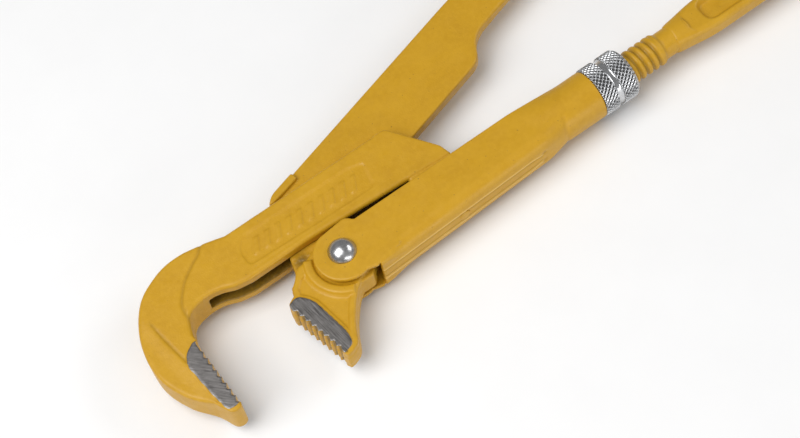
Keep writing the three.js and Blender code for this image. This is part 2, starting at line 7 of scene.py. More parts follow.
import bpy
import numpy as np
from mathutils import Matrix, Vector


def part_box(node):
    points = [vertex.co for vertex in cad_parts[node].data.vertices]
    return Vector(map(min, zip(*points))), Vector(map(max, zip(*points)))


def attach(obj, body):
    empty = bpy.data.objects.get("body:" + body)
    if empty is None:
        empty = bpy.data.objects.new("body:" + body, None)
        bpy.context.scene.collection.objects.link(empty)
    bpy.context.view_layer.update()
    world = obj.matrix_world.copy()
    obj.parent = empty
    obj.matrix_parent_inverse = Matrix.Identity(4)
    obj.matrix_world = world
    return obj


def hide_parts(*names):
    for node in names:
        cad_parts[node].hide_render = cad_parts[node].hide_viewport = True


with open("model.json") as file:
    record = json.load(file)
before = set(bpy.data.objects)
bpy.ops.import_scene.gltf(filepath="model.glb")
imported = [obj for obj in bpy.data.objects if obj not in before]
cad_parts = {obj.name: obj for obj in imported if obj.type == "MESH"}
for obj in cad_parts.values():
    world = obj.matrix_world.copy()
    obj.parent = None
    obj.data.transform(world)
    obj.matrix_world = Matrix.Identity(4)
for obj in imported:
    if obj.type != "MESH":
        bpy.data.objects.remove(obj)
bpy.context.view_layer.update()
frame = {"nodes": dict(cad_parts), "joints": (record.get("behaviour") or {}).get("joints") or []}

pivotPlace = next(joint["pos_m"] for joint in frame["joints"] if joint["name"] == "lever_pivot")
pivot = np.array(pivotPlace) * 1000


def boxOf(node):
    low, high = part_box(node)
    return np.array(low) * 1000 - pivot, np.array(high) * 1000 - pivot


hookLow, hookHigh = boxOf("hook_jaw")
sleeveLow, sleeveHigh = boxOf("sleeve")
nutLow, nutHigh = boxOf("adjusting_nut")
rivetHigh = boxOf("pivot_rivet")[1]
springLow, springHigh = boxOf("leaf_spring")

shared = {
    "leverAngle": 16.3,  # degrees between the lever and the rod
    "sheet": 2.4,
    "channelHalfWidth": 12.0,
    "shankBottom": 17.4,
    "shankTop": 46.2,
    "rodRadius": 8.75,
    "toothPitch": 4.15,
    "toothCount": 8,
    "toothDepth": 1.6,
    "toothLean": 0.32,  # place of the gullet along one pitch
    "earRadius": 15.3,
    "earDrop": 1.2,  # how far the ear's middle lies below the pivot
    "rivetHole": 5.3,
}
toothRow = shared["toothPitch"] * shared["toothCount"]

# Flat outlines


def ease(value):
    share = np.clip(value, 0, 1)
    return share * share * (3 - 2 * share)


def arc(centre, radius, start, end, steps=16):
    angle = np.radians(np.linspace(start, end, steps))
    return np.column_stack([centre[0] + radius * np.cos(angle), centre[1] + radius * np.sin(angle)])


def bend(start, pull, end, steps=7):
    # parabola from start to end, drawn towards pull
    share = np.linspace(0, 1, steps)[:, None]
    a, b, c = (np.array(point, float) for point in (start, pull, end))
    return (1 - share) ** 2 * a + 2 * share * (1 - share) * b + share**2 * c


def swell(start, pullOne, pullTwo, end, steps=14):
    # cubic from start to end, drawn towards two pulls
    share = np.linspace(0, 1, steps)[:, None]
    a, b, c, d = (np.array(point, float) for point in (start, pullOne, pullTwo, end))
    ends = (1 - share) ** 3 * a + share**3 * d
    return ends + 3 * share * (1 - share) ** 2 * b + 3 * share**2 * (1 - share) * c


def smoothThrough(points, steps=9):
    # cubic through every point; the slope at a point is half the step between its neighbours
    p = np.array(points, float)
    before = np.vstack([p[:1], p[:-2]])
    after = np.vstack([p[2:], p[-1:]])
    share = np.linspace(0, 1, steps, endpoint=False)[None, :, None]
    a, b = p[:-1, None], p[1:, None]
    slopeA, slopeB = (b - before[:, None]) / 2, (after[:, None] - a) / 2
    curve = (
        a + slopeA * share + (3 * (b - a) - 2 * slopeA - slopeB) * share**2
        + (2 * (a - b) + slopeA + slopeB) * share**3
    )
    return np.vstack([curve.reshape(-1, 2), p[-1:]])


def softCorners(corners):
    # a corner is x, y and how far its rounding may reach back along its sides
    rounded = []
    p = np.array([corner[:2] for corner in corners], float)
    for i, corner in enumerate(corners):
        reach = corner[2] if len(corner) > 2 else 0
        back, ahead = p[i - 1] - p[i], p[(i + 1) % len(p)] - p[i]
        backLength, aheadLength = np.hypot(*back), np.hypot(*ahead)
        cut = min(reach, backLength / 2, aheadLength / 2)
        if cut:
            rounded.append(bend(p[i] + back / backLength * cut, p[i], p[i] + ahead / aheadLength * cut))
        else:
            rounded.append(p[i : i + 1])
    return np.vstack(rounded)


def teethAlong(start, end):
    # saw teeth: a tip and a gullet in each pitch, the gullets cut to the left of the row
    start, end = np.array(start, float), np.array(end, float)
    along = (end - start) / shared["toothCount"]
    inward = np.array([-along[1], along[0]]) / np.hypot(*along) * shared["toothDepth"]
    tips = start + np.arange(shared["toothCount"])[:, None] * along
    gullets = tips + along * shared["toothLean"] + inward
    return np.vstack([np.stack([tips, gullets], 1).reshape(-1, 2), end[None]])


def outlineDistance(x, y, outline):
    # distance to the nearest side of a closed outline, negative inside it
    nearest = np.full(x.shape, np.inf)
    inside = np.zeros(x.shape, bool)
    for (ax, ay), (bx, by) in zip(outline, np.roll(outline, -1, axis=0)):
        dx, dy = bx - ax, by - ay
        length = dx * dx + dy * dy
        if length < 1e-12:
            continue
        share = np.clip(((x - ax) * dx + (y - ay) * dy) / length, 0, 1)
        nearest = np.minimum(nearest, (x - ax - share * dx) ** 2 + (y - ay - share * dy) ** 2)
        if ay != by:
            inside ^= ((ay > y) != (by > y)) & (x < dx * (y - ay) / dy + ax)
    return np.where(inside, -1, 1) * np.sqrt(nearest)


def lineDistance(x, y, line):
    nearest = np.full(x.shape, np.inf)
    for (ax, ay), (bx, by) in zip(line[:-1], line[1:]):
        dx, dy = bx - ax, by - ay
        share = np.clip(((x - ax) * dx + (y - ay) * dy) / (dx * dx + dy * dy), 0, 1)
        nearest = np.minimum(nearest, (x - ax - share * dx) ** 2 + (y - ay - share * dy) ** 2)
    return np.sqrt(nearest)


def unevenness(x, y, size, seed):
    # hills of one size from -1 to 1: seeded heights on a square lattice, blended between its points
    lattice, middle = 512, 200
    heights = np.random.default_rng(seed).uniform(-1, 1, (lattice, lattice))
    u, v = x / size + middle, y / size + middle
    i, j = np.floor(u).astype(int), np.floor(v).astype(int)
    a, b = ease(u - i), ease(v - j)
    i, j = i % (lattice - 1), j % (lattice - 1)
    low = heights[i, j] * (1 - a) + heights[i + 1, j] * a
    high = heights[i, j + 1] * (1 - a) + heights[i + 1, j + 1] * a
    return low * (1 - b) + high * b


# Solids from distance fields


def roundedPlate(flat, halfThickness, z, edge):
    # an outline's distance and a thickness, met in a rounded edge
    a, b = flat + edge, np.abs(z) - halfThickness + edge
    return np.minimum(np.maximum(a, b), 0) + np.hypot(np.maximum(a, 0), np.maximum(b, 0)) - edge


def merged(a, b, soft):
    share = np.clip(0.5 + 0.5 * (b - a) / soft, 0, 1)
    return b + (a - b) * share - soft * share * (1 - share)


def carved(a, b, soft):
    return -merged(-a, b, soft)


def stations(*stretches):
    # grid places from (start, end, step) stretches, each starting where the last one ends
    places = [np.linspace(a, b, max(2, round((b - a) / step) + 1))[:-1] for a, b, step in stretches]
    return np.concatenate([*places, [stretches[-1][1]]])


def mirroredStations(*stretches):
    half = stations(*stretches)
    return np.concatenate([-half[:0:-1], half])


def netMesh(axes, field):
    # a point in every grid cell that the surface crosses, at the mean of its crossings of the cell's edges,
    # and a face round every grid edge that it crosses
    cells = np.array(field.shape) - 1
    inside = field < 0
    crossed, rings = [], []
    for axis in range(3):
        low, high = [slice(None)] * 3, [slice(None)] * 3
        low[axis], high[axis] = slice(None, -1), slice(1, None)
        low, high = tuple(low), tuple(high)
        change = inside[low] != inside[high]
        index = np.argwhere(change)
        valueLow, valueHigh = field[low][change], field[high][change]
        place = np.column_stack([axes[k][index[:, k]] for k in range(3)]).astype(float)
        step = axes[axis][index[:, axis] + 1] - axes[axis][index[:, axis]]
        place[:, axis] += valueLow / (valueLow - valueHigh) * step
        ring = []
        for backOne, backTwo in ((1, 1), (0, 1), (0, 0), (1, 0)):
            cell = index.copy()
            cell[:, (axis + 1) % 3] -= backOne
            cell[:, (axis + 2) % 3] -= backTwo
            ring.append(np.ravel_multi_index(cell.T, cells))
        ring = np.column_stack(ring)
        crossed.append((ring, place))
        rings.append(np.where((valueLow < 0)[:, None], ring, ring[:, ::-1]))
    owner = np.concatenate([ring.ravel() for ring, place in crossed])
    spread = np.concatenate([np.repeat(place, 4, axis=0) for ring, place in crossed])
    used, compact = np.unique(owner, return_inverse=True)
    count = np.bincount(compact)
    points = np.column_stack([np.bincount(compact, spread[:, k]) / count for k in range(3)])
    faces = np.searchsorted(used, np.vstack(rings))
    return points, faces


# Surfaces on a grid


def tubeFaces(rows, columns, closedRows=False):
    # faces of a grid whose columns close on themselves; the last row may join the first
    lastRow = rows if closedRows else rows - 1
    i = np.arange(lastRow)[:, None]
    j = np.arange(columns)[None, :]
    nextRow, nextColumn = (i + 1) % rows, (j + 1) % columns
    here, after = i * columns, nextRow * columns
    corners = [here + j, here + nextColumn, after + nextColumn, after + j]
    return np.stack([np.broadcast_to(corner, (lastRow, columns)) for corner in corners], -1).reshape(-1, 4)


def cappedTube(points):
    # rows of rings, closed by a fan at each end; points is rows x columns x 3
    rows, columns = points.shape[:2]
    faces = tubeFaces(rows, columns)
    middleStart, middleEnd = rows * columns, rows * columns + 1
    ring = np.arange(columns)
    ahead = (ring + 1) % columns
    startFan = np.column_stack([ahead, ring, np.full(columns, middleStart)])
    offset = (rows - 1) * columns
    endFan = np.column_stack([offset + ring, offset + ahead, np.full(columns, middleEnd)])
    middles = [points[0].mean(0), points[-1].mean(0)]
    return np.vstack([points.reshape(-1, 3), middles]), [faces, np.vstack([startFan, endFan])]


def roundAbout(axis, along, radius, angle):
    # turns lengths along an axis and distances from it into points; angle 0 is +Y about X, +X about Z
    a, b = radius * np.cos(angle), radius * np.sin(angle)
    along = np.broadcast_to(along, a.shape)
    order = {"x": (along, a, b), "y": (b, along, a), "z": (a, b, along)}[axis]
    return np.stack(order, -1)


def addPiece(name, points, faces, body, slotName, nodes=(), marks=None, turn=0):
    # one mesh piece, turned about the pivot by some degrees; millimetres from the pivot become metres
    if turn:
        cos, sin = math.cos(math.radians(turn)), math.sin(math.radians(turn))
        x, y, z = points.T
        points = np.column_stack([x * cos - y * sin, x * sin + y * cos, z])
    groups = faces if isinstance(faces, list) else [faces]
    corners = np.concatenate([group.ravel() for group in groups])
    sizes = np.concatenate([np.full(len(group), group.shape[1]) for group in groups])
    starts = np.concatenate([[0], np.cumsum(sizes)[:-1]])
    mesh = bpy.data.meshes.new(name)
    mesh.vertices.add(len(points))
    mesh.vertices.foreach_set("co", ((points + pivot) / 1000).astype(np.float32).ravel())
    mesh.loops.add(len(corners))
    mesh.loops.foreach_set("vertex_index", corners.astype(np.int32))
    mesh.polygons.add(len(sizes))
    mesh.polygons.foreach_set("loop_start", starts.astype(np.int32))
    for mark, values in (marks or {}).items():
        mesh.attributes.new(mark, "FLOAT", "POINT").data.foreach_set("value", values.astype(np.float32))
    mesh.update(calc_edges=True)
    mesh.validate()
    mesh.shade_smooth()
    piece = bpy.data.objects.new(name, mesh)
    bpy.context.scene.collection.objects.link(piece)
    piece.data.materials.append(finishes[slotName])
    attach(piece, body)
    if nodes:
        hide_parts(*nodes)
    print(f"{name}: {len(points)} points")
    return piece


# Finishes


class Nodes:
    # short hand for a node tree: add a node with its settings, and link sockets
    def __init__(self, name):
        self.material = bpy.data.materials.new(name)
        self.material.use_nodes = True
        self.tree = self.material.node_tree
        self.tree.nodes.clear()
        self.output = self.add("ShaderNodeOutputMaterial")
        self.shader = self.add("ShaderNodeBsdfPrincipled")
        self.link(self.shader.outputs[0], self.output.inputs["Surface"])
        self.place = self.add("ShaderNodeTexCoord").outputs["Object"]

    def add(self, kind, **settings):
        node = self.tree.nodes.new(kind)
        for key, value in settings.items():
            setattr(node, key, value)
        return node

    def link(self, source, target):
        self.tree.links.new(source, target)

    def feed(self, value, target):
        # a colour, a number or another node's socket
        if isinstance(value, tuple):
            target.default_value = (*value, 1)
        elif isinstance(value, (int, float)):
            target.default_value = value
        else:
            self.link(value, target)

    def attribute(self, name):
        return self.add("ShaderNodeAttribute", attribute_name=name).outputs["Fac"]

    def noise(self, size, detail=3.0, rough=0.55, stretch=(1, 1, 1), turn=0.0):
        # size is that of the grains in millimetres; they are longer along an axis with a low stretch value
        mapping = self.add("ShaderNodeMapping")
        mapping.vector_type = "TEXTURE"
        mapping.inputs["Scale"].default_value = [1 / value for value in stretch]
        mapping.inputs["Rotation"].default_value = (0, 0, math.radians(turn))
        self.link(self.place, mapping.inputs["Vector"])
        node = self.add("ShaderNodeTexNoise")
        node.inputs["Scale"].default_value = 1000 / size
        node.inputs["Detail"].default_value = detail
        node.inputs["Roughness"].default_value = rough
        self.link(mapping.outputs[0], node.inputs["Vector"])
        return node.outputs["Fac"]

    def range(self, source, fromLow, fromHigh, low, high, smooth=False):
        node = self.add("ShaderNodeMapRange")
        node.interpolation_type = "SMOOTHSTEP" if smooth else "LINEAR"
        sockets = ("From Min", "From Max", "To Min", "To Max")
        for socket, value in zip(sockets, (fromLow, fromHigh, low, high)):
            node.inputs[socket].default_value = value
        self.link(source, node.inputs["Value"])
        return node.outputs[0]

    def math(self, operation, first, second):
        node = self.add("ShaderNodeMath", operation=operation)
        self.feed(first, node.inputs[0])
        self.feed(second, node.inputs[1])
        return node.outputs[0]

    def mixColour(self, share, first, second):
        node = self.add("ShaderNodeMix", data_type="RGBA")
        self.link(share, node.inputs["Factor"])
        socketA, socketB = [socket for socket in node.inputs if socket.type == "RGBA"]
        self.feed(first, socketA)
        self.feed(second, socketB)
        return [socket for socket in node.outputs if socket.type == "RGBA"][0]

    def mixValue(self, share, first, second):
        node = self.add("ShaderNodeMix", data_type="FLOAT")
        self.link(share, node.inputs["Factor"])
        self.feed(first, node.inputs[2])
        self.feed(second, node.inputs[3])
        return node.outputs[0]

    def bump(self, height, strength, depth, under=None):
        # depth is in millimetres
        node = self.add("ShaderNodeBump")
        node.inputs["Strength"].default_value = strength
        node.inputs["Distance"].default_value = depth / 1000
        self.link(height, node.inputs["Height"])
        if under is not None:
            self.link(under, node.inputs["Normal"])
        return node.outputs[0]


paint = {
    "gold": (0.560, 0.305, 0.012),
    "pale": (0.590, 0.328, 0.016),
    # painted highlight: a pale colour laid along the sleeve's pressed ridge
    "paintedHighlight": (0.800, 0.560, 0.200),
    "deep": (0.510, 0.270, 0.009),
    # painted shade: the dark colour laid into slots, creases, teeth gullets, thread valleys and the tube's
    # inside
    "paintedShade": (0.150, 0.090, 0.012),
    "speck": (0.100, 0.060, 0.015),
    "roughness": 0.40,
    "peelSize": 0.9,
    "peelDepth": 0.05,
}
groundFace = {
    "bright": (0.30, 0.285, 0.275),
    "dark": (0.12, 0.113, 0.108),
    "roughness": 0.36,
    "scratchSize": 0.35,
    "scratchDepth": 0.03,
}


def goldenPaint(name, peel=1.0, ground=None):
    # baked enamel on steel: orange peel, soft tone changes, a few specks, painted shade in deep corners,
    # a painted highlight along the pressed line; with an angle for ground, steel is bare where that mark is
    # positive, and grinding lines run at the angle
    nodes = Nodes(name)
    tone = nodes.range(nodes.noise(16, 4), 0.32, 0.68, 0, 1)
    colour = nodes.mixColour(tone, paint["deep"], paint["gold"])
    fine = nodes.range(nodes.noise(2.6, 5), 0.4, 0.7, 0, 0.55)
    colour = nodes.mixColour(fine, colour, paint["pale"])
    speckle = nodes.range(nodes.noise(1.1, 2, 0.4), 0.74, 0.79, 0, 0.6, True)
    colour = nodes.mixColour(speckle, colour, paint["speck"])
    # painted shade: the paintedShade mark, broken up by noise, darkens the paint towards the shade colour
    shadeStrength = nodes.range(nodes.noise(1.5, 5), 0.3, 0.6, 0.75, 1)
    paintedShade = nodes.math("MULTIPLY", nodes.attribute("paintedShade"), shadeStrength)
    colour = nodes.mixColour(paintedShade, colour, paint["paintedShade"])
    # painted highlight: the paintedHighlight mark lightens the paint along the pressed ridge
    paintedHighlight = nodes.math("MULTIPLY", nodes.attribute("paintedHighlight"), 0.55)
    colour = nodes.mixColour(paintedHighlight, colour, paint["paintedHighlight"])
    roughness = nodes.range(nodes.noise(6, 4), 0.3, 0.7, paint["roughness"] - 0.06, paint["roughness"] + 0.08)
    grit = nodes.math("MULTIPLY", nodes.noise(0.3, 2), 0.25)
    height = nodes.math("ADD", nodes.noise(paint["peelSize"], 3, 0.5), grit)
    normal = nodes.bump(height, 0.55 * peel, paint["peelDepth"] * 4)
    normal = nodes.bump(nodes.range(speckle, 0, 0.6, 1, 0), 0.6, 0.12, normal)
    if ground is not None:
        steel = nodes.range(nodes.attribute("ground"), -0.05, 0.05, 0, 1, True)
        lines = nodes.noise(groundFace["scratchSize"], 3, 0.7, (0.035, 1, 0.4), ground)
        patches = nodes.noise(5, 3)
        mixed = nodes.math("ADD", nodes.math("MULTIPLY", lines, 0.75), nodes.math("MULTIPLY", patches, 0.25))
        bare = nodes.mixColour(nodes.range(mixed, 0.36, 0.64, 0, 1), groundFace["dark"], groundFace["bright"])
        colour = nodes.mixColour(steel, colour, bare)
        gloss = groundFace["roughness"]
        roughness = nodes.mixValue(steel, roughness, nodes.range(lines, 0.3, 0.7, gloss - 0.08, gloss + 0.16))
        nodes.link(nodes.math("MULTIPLY", steel, 0.85), nodes.shader.inputs["Metallic"])
        scratched = nodes.bump(lines, 0.7, groundFace["scratchDepth"] * 3)
        blend = nodes.add("ShaderNodeMix", data_type="VECTOR")
        nodes.link(steel, blend.inputs["Factor"])
        vectors = [socket for socket in blend.inputs if socket.type == "VECTOR"]
        nodes.link(normal, vectors[-2])
        nodes.link(scratched, vectors[-1])
        normal = [socket for socket in blend.outputs if socket.type == "VECTOR"][0]
    nodes.link(colour, nodes.shader.inputs["Base Color"])
    nodes.link(roughness, nodes.shader.inputs["Roughness"])
    nodes.link(normal, nodes.shader.inputs["Normal"])
    nodes.shader.inputs["Specular IOR Level"].default_value = 0.4
    return nodes.material


def plainMetal(name, light, dark, rough, grain, stretch=(1, 1, 1), pits=False):
    # polished or plated metal: fine uneven gloss, and painted shade in the pits of a knurl and down its bore
    nodes = Nodes(name)
    fine = nodes.noise(grain, 4, 0.6, stretch)
    colour = nodes.mixColour(nodes.range(fine, 0.3, 0.7, 0, 1), dark, light)
    roughness = nodes.range(nodes.noise(grain * 3, 3), 0.3, 0.7, rough - 0.05, rough + 0.08)
    if pits:
        # painted shade: near black where the pit mark is set
        shadeStrength = nodes.range(nodes.attribute("pit"), 0.2, 0.95, 0, 0.93, True)
        colour = nodes.mixColour(shadeStrength, colour, (0.03, 0.029, 0.028))
        roughness = nodes.mixValue(shadeStrength, roughness, 0.55)
    nodes.link(colour, nodes.shader.inputs["Base Color"])
    nodes.link(roughness, nodes.shader.inputs["Roughness"])
    nodes.shader.inputs["Metallic"].default_value = 1
    nodes.link(nodes.bump(fine, 0.25, 0.02), nodes.shader.inputs["Normal"])
    return nodes.material


finishes = {
    "painted_forging": goldenPaint("forged steel, golden paint", ground=-48),
    "lever_paint": goldenPaint("forged lever, golden paint", ground=-84),
    "painted_sheet": goldenPaint("pressed sheet, golden paint", peel=0.6),
    "bright_zinc": plainMetal("bright zinc", (0.72, 0.73, 0.74), (0.52, 0.53, 0.55), 0.2, 0.8, pits=True),
    "polished_rivet": plainMetal(
        "polished rivet", (0.62, 0.62, 0.63), (0.40, 0.40, 0.41), 0.27, 1.6, stretch=(0.2, 1, 1)),
    "spring_steel": plainMetal("blue spring steel", (0.20, 0.21, 0.23), (0.12, 0.125, 0.14), 0.34, 1.0),
}

# Hook jaw, shank and root: one forging

hook = {
    "drop": -hookLow[1],
    "back": -108.7,
    "face": -83.7,
    "crown": 5.6,
    "throatRise": 5.5,
    "shankRear": 75.4,
    "taper": 4.9,
    "bevel": 17.5,
    "halfThickness": 9.7,
    "headHalfThickness": 9.45,
    "bandDrop": 0.9,  # how much lower the band along the back lies
    "padRise": 0.3,
    "padDepth": 8.9,
    "edge": 2.0,
    "toothEdge": 0.45,
    "slotHalfWidth": 4.0,
    "mouthFlare": 2.4,
    "slotFront": -65.8,
    "slotFloor": 16.6,
    "rootFront": 50.0,
    "rootEnd": 84.4,
    "rootHalfThickness": 9.0,
    "rootTaper": 2.0,
    "panelDepth": 0.55,
    "creaseDepth": 0.6,
    "ledgeDepth": 0.16,
}
barRow = {
    "first": -31,
    "last": 27,
    "pitch": 6.4,
    "halfWidth": 1.5,
    "halfHeight": 4.4,
    "slant": 0.5,
    "rise": 0.5,
}
teethTop = -hook["drop"] + 2.6 + toothRow


def hookOutline():
    top, under, back, face = shared["shankTop"], shared["shankBottom"], hook["back"], hook["face"]
    rear, foot, rise = hook["shankRear"], -hook["drop"], hook["throatRise"]
    bevelEnd = rear - hook["bevel"]
    outer = smoothThrough([
        (back + 68, top), (back + 56, top + 0.62 * hook["crown"]), (back + 42, top + hook["crown"]),
        (back + 29, top + 0.6 * hook["crown"]), (back + 14.5, top - 5), (back + 3.5, top - 22),
        (back, top - 43), (back + 5, foot + 23), (back + 14.4, foot + 10),
    ])
    throat = smoothThrough([
        (face + 0.6, teethTop + 7.6), (face + 1.4, under - 6.4), (face + 4.6, under + 0.24 * rise),
        (face + 10, under + 0.8 * rise), (face + 17.5, under + rise), (face + 25, under + 0.8 * rise),
        (face + 32, under + 0.28 * rise), (face + 40, under),
    ])
    return np.vstack([
        [(rear, under - hook["taper"]), (rear - 1.6, under + 2.4)],
        bend((bevelEnd, top - 1.5), (bevelEnd - 1, top), (bevelEnd - 4, top)),
        outer,
        bend((face - 7.4, foot + 2.6), (face - 6, foot), (face - 3.4, foot)),
        bend((face - 3.4, foot), (face - 0.6, foot), (face, foot + 2.6))[1:-1],
        teethAlong((face, foot + 2.6), (face, teethTop)),
        [(face - 0.8, teethTop + 1.4), (face - 0.6, teethTop + 6.5)],
        throat,
        [(-10, under)],
    ])


def hookPadOutline():
    face, foot, depth = hook["face"], -hook["drop"] + 2.4, hook["padDepth"]
    return softCorners([
        (face + 4, foot + 1.2), (face + 4, teethTop + 5), (face - 1, teethTop + 8.2, 2),
        (face - depth + 1, teethTop + 4, 3.5), (face - depth - 1.6, teethTop - 1.5, 4),
        (face - depth, foot + 10, 4), (face - depth + 1.6, foot, 2.5), (face - 2.8, foot - 0.4, 1.5),
    ])


def cheekPanelOutline():
    return softCorners([
        (-40, 23.6, 3), (-3, 22.1, 1), (34, 21.2, 3), (37.5, 36.2, 2), (29, 38.6, 4), (-34, 39.8, 3),
        (-39.6, 33.4, 3),
    ])


def cheekEdgeLine():
    # front edge of the cheek, from the crown down to the throat
    return smoothThrough([
        (-52, 51), (-57, 45.5), (-61.3, 43), (-70.3, 36.7), (-77.1, 28.8), (-79.4, 22.9), (-79.2, 14),
    ])


def bandEdgeLine():
    # front edge of the lower band along the hook's back
    return smoothThrough([
        (-97, 47), (-94.8, 39.1), (-96.4, 30.9), (-95.6, 19.5), (-94.2, 7.8), (-92.6, -4), (-90.5, -20),
    ])


def slantedBars(x, y):
    # a row of raised slanted bars, 1 on a bar and 0 beside it
    middle = 30.2 - 0.03 * x
    across = (x - barRow["slant"] * (y - middle) - barRow["first"]) / barRow["pitch"]
    nearest = np.abs(across - np.round(across)) * barRow["pitch"]
    count = round((barRow["last"] - barRow["first"]) / barRow["pitch"])
    inRow = (np.round(across) >= 0) & (np.round(across) <= count)
    edge = np.maximum(nearest - barRow["halfWidth"], np.abs(y - middle) - barRow["halfHeight"])
    return np.where(inRow, ease(0.5 - edge / 0.7), 0)


def hookFaceHeight(x, y, pad, seed):
    # one face's distance from the middle: the head lies lower than the cheek and the band lower still, with
    # a crease along each edge; the panel is sunk, with a faint ledge below it, and the pad is raised
    cheek = outlineDistance(x, y, np.vstack([cheekEdgeLine(), [(-70, 4), (100, 4), (100, 60), (-50, 60)]]))
    band = outlineDistance(x, y, np.vstack([bandEdgeLine(), [(-96, -45), (-130, -45), (-130, 50)]]))
    head, full, crease = hook["headHalfThickness"], hook["halfThickness"], hook["creaseDepth"]
    height = head + (full - head) * ease(0.5 - cheek / 1.6)
    height = height - crease * np.exp(-((cheek / 0.8) ** 2)) * ease((y - 18) / 5)
    height = height - hook["bandDrop"] * ease(-band / 9)
    height = height - crease * np.exp(-((band / 0.7) ** 2)) * ease((30 - y) / 14)
    height = height + 0.05 * unevenness(x, y, 9, seed) + 0.03 * unevenness(x, y, 2.4, seed + 5)
    sunk = ease(0.5 - outlineDistance(x, y, cheekPanelOutline()))
    height = height - hook["panelDepth"] * sunk + barRow["rise"] * slantedBars(x, y) * sunk
    ledge = np.exp(-(((y - 20.4 + 0.014 * x) / 0.5) ** 2)) * ease((x + 42) / 6) * ease((50 - x) / 20)
    height = height - hook["ledgeDepth"] * ledge
    return height + (full + hook["padRise"] - height) * ease(0.5 - pad / 0.5)


def slotField(x, y, z):
    # the room for the lever: a slot through the shank with rough walls, wider at its mouth, that runs on
    # above the root
    through = np.maximum(hook["slotFront"] - x, x - hook["rootFront"])
    aboveRoot = np.maximum(hook["rootFront"] - 1 - x, hook["slotFloor"] - y)
    rough = unevenness(x, y, 1.7, 21) * 0.16 + unevenness(x, y, 5, 22) * 0.14
    mouth = ease((22 - y) / 4) * ease((x + 2) / 8) * ease((54 - x) / 5)
    half = hook["slotHalfWidth"] + rough + hook["mouthFlare"] * mouth
    return roundedPlate(np.minimum(through, aboveRoot)[..., None], half[..., None], z, 0.9)


def rootField(x, y, z):
    # the block behind the slot, from which the rod grows
    front, rear, end = hook["rootFront"], hook["shankRear"], hook["rootEnd"]
    low, high = -shared["rodRadius"], hook["slotFloor"]
    outline = softCorners([
        (front, low, 1.5), (rear, low, 3), (end, -7.6, 1), (end, 7.6, 1), (75.6, 12.1, 1), (74, high),
        (front, high),
    ])
    half = hook["rootHalfThickness"] - hook["rootTaper"] * ease((x - 73) / 9)
    return roundedPlate(outlineDistance(x, y, outline)[..., None], half[..., None], z, 1.6)


def hookMarks(x, y, z):
    # bare steel on the pads; painted shade in the slot and its mouth, along the creases and in the teeth
    face, foot, depth = hook["face"], -hook["drop"], np.abs(z)
    padEdge = outlineDistance(x, y, hookPadOutline())
    onFace = (depth - hook["halfThickness"] - hook["padRise"] + 0.22) * 4
    inSlot = 0.85 * ease((4.9 - depth) / 0.8) * ease((x - hook["slotFront"] + 1) / 1.5)
    inMouth = ease((22.5 - y) / 2) * ease((x + 1) / 6) * ease((54 - x) / 4) * ease((7 - depth) / 0.8)
    nearCheek = lineDistance(x, y, cheekEdgeLine()) * 1.1
    nearBand = lineDistance(x, y, bandEdgeLine()) + 3 * ease((y - 26) / 8)
    creases = 0.3 * np.exp(-((np.minimum(nearCheek, nearBand) / 0.9) ** 2)) * (depth > 8)
    inTeeth = ease((face - x - 0.5) / 0.8) * (x > face - 2.2) * (y < teethTop) * (y > foot + 2)
    inTeeth = 0.9 * inTeeth * (depth < hook["halfThickness"] - 0.2)
    # painted shade mark: the slot, its mouth, the creases and the teeth gullets
    paintedShade = np.max([inSlot, inMouth, creases, inTeeth], axis=0)
    return {"ground": np.minimum(-padEdge, onFace), "paintedShade": paintedShade}


def hookForging():
    # outline and thickness meet in soft edges, creases, panel and pads are heights on the two faces, and the
    # slot is carved through both the shank and the root
    xs = stations((-110.6, -90, 0.65), (-90, -81, 0.36), (-81, 87, 0.6))
    ys = stations((-39.4, 8, 0.4), (8, 53.6, 0.6))
    zs = mirroredStations((0, 3.2, 0.8), (3.2, 4.8, 0.3), (4.8, 7.6, 0.7), (7.6, 11.2, 0.3))
    x, y = np.meshgrid(xs, ys, indexing="ij")
    z = zs[None, None, :]
    flat = outlineDistance(x, y, hookOutline()) + 0.06 * unevenness(x, y, 6, 1)
    pad = outlineDistance(x, y, hookPadOutline())
    edge = hook["toothEdge"] + (hook["edge"] - hook["toothEdge"]) * ease((pad - 0.5) / 4)
    edge = np.where(x > hook["rootFront"], 1.3, edge)
    nearSide, farSide = (hookFaceHeight(x, y, pad, seed)[..., None] for seed in (11, 12))
    shank = roundedPlate(flat[..., None], np.where(z > 0, nearSide, farSide), z, edge[..., None])
    slot = slotField(x, y, z)
    body = np.minimum(carved(shank, slot, 0.7), carved(rootField(x, y, z), slot, 0.5))
    points, faces = netMesh((xs, ys, zs), body)
    marks = hookMarks(*points.T)
    return addPiece("hookForging", points, faces, "hook", "painted_forging", ["hook_jaw"], marks)


# Rod with its thread, and the handle behind it

rod = {
    "start": 70.0,
    "threadStart": 111.0,
    "threadEnd": 197.0,
    "pitch": 4.2,
    "depth": 1.35,
    "neckRadius": 7.4,
    "end": 216.0,
    "columns": 72,
    "step": 0.28,
}


def threadReach(angle, x, radius, start, end):
    # wide round crests and narrow valleys that climb one pitch a turn, fading out at both ends
    wave = 0.5 - 0.5 * np.cos(2 * np.pi * x / rod["pitch"] - angle)
    fade = ease((x - start) / rod["pitch"]) * ease((end - x) / rod["pitch"])
    return radius - rod["depth"] * wave**1.7 * fade


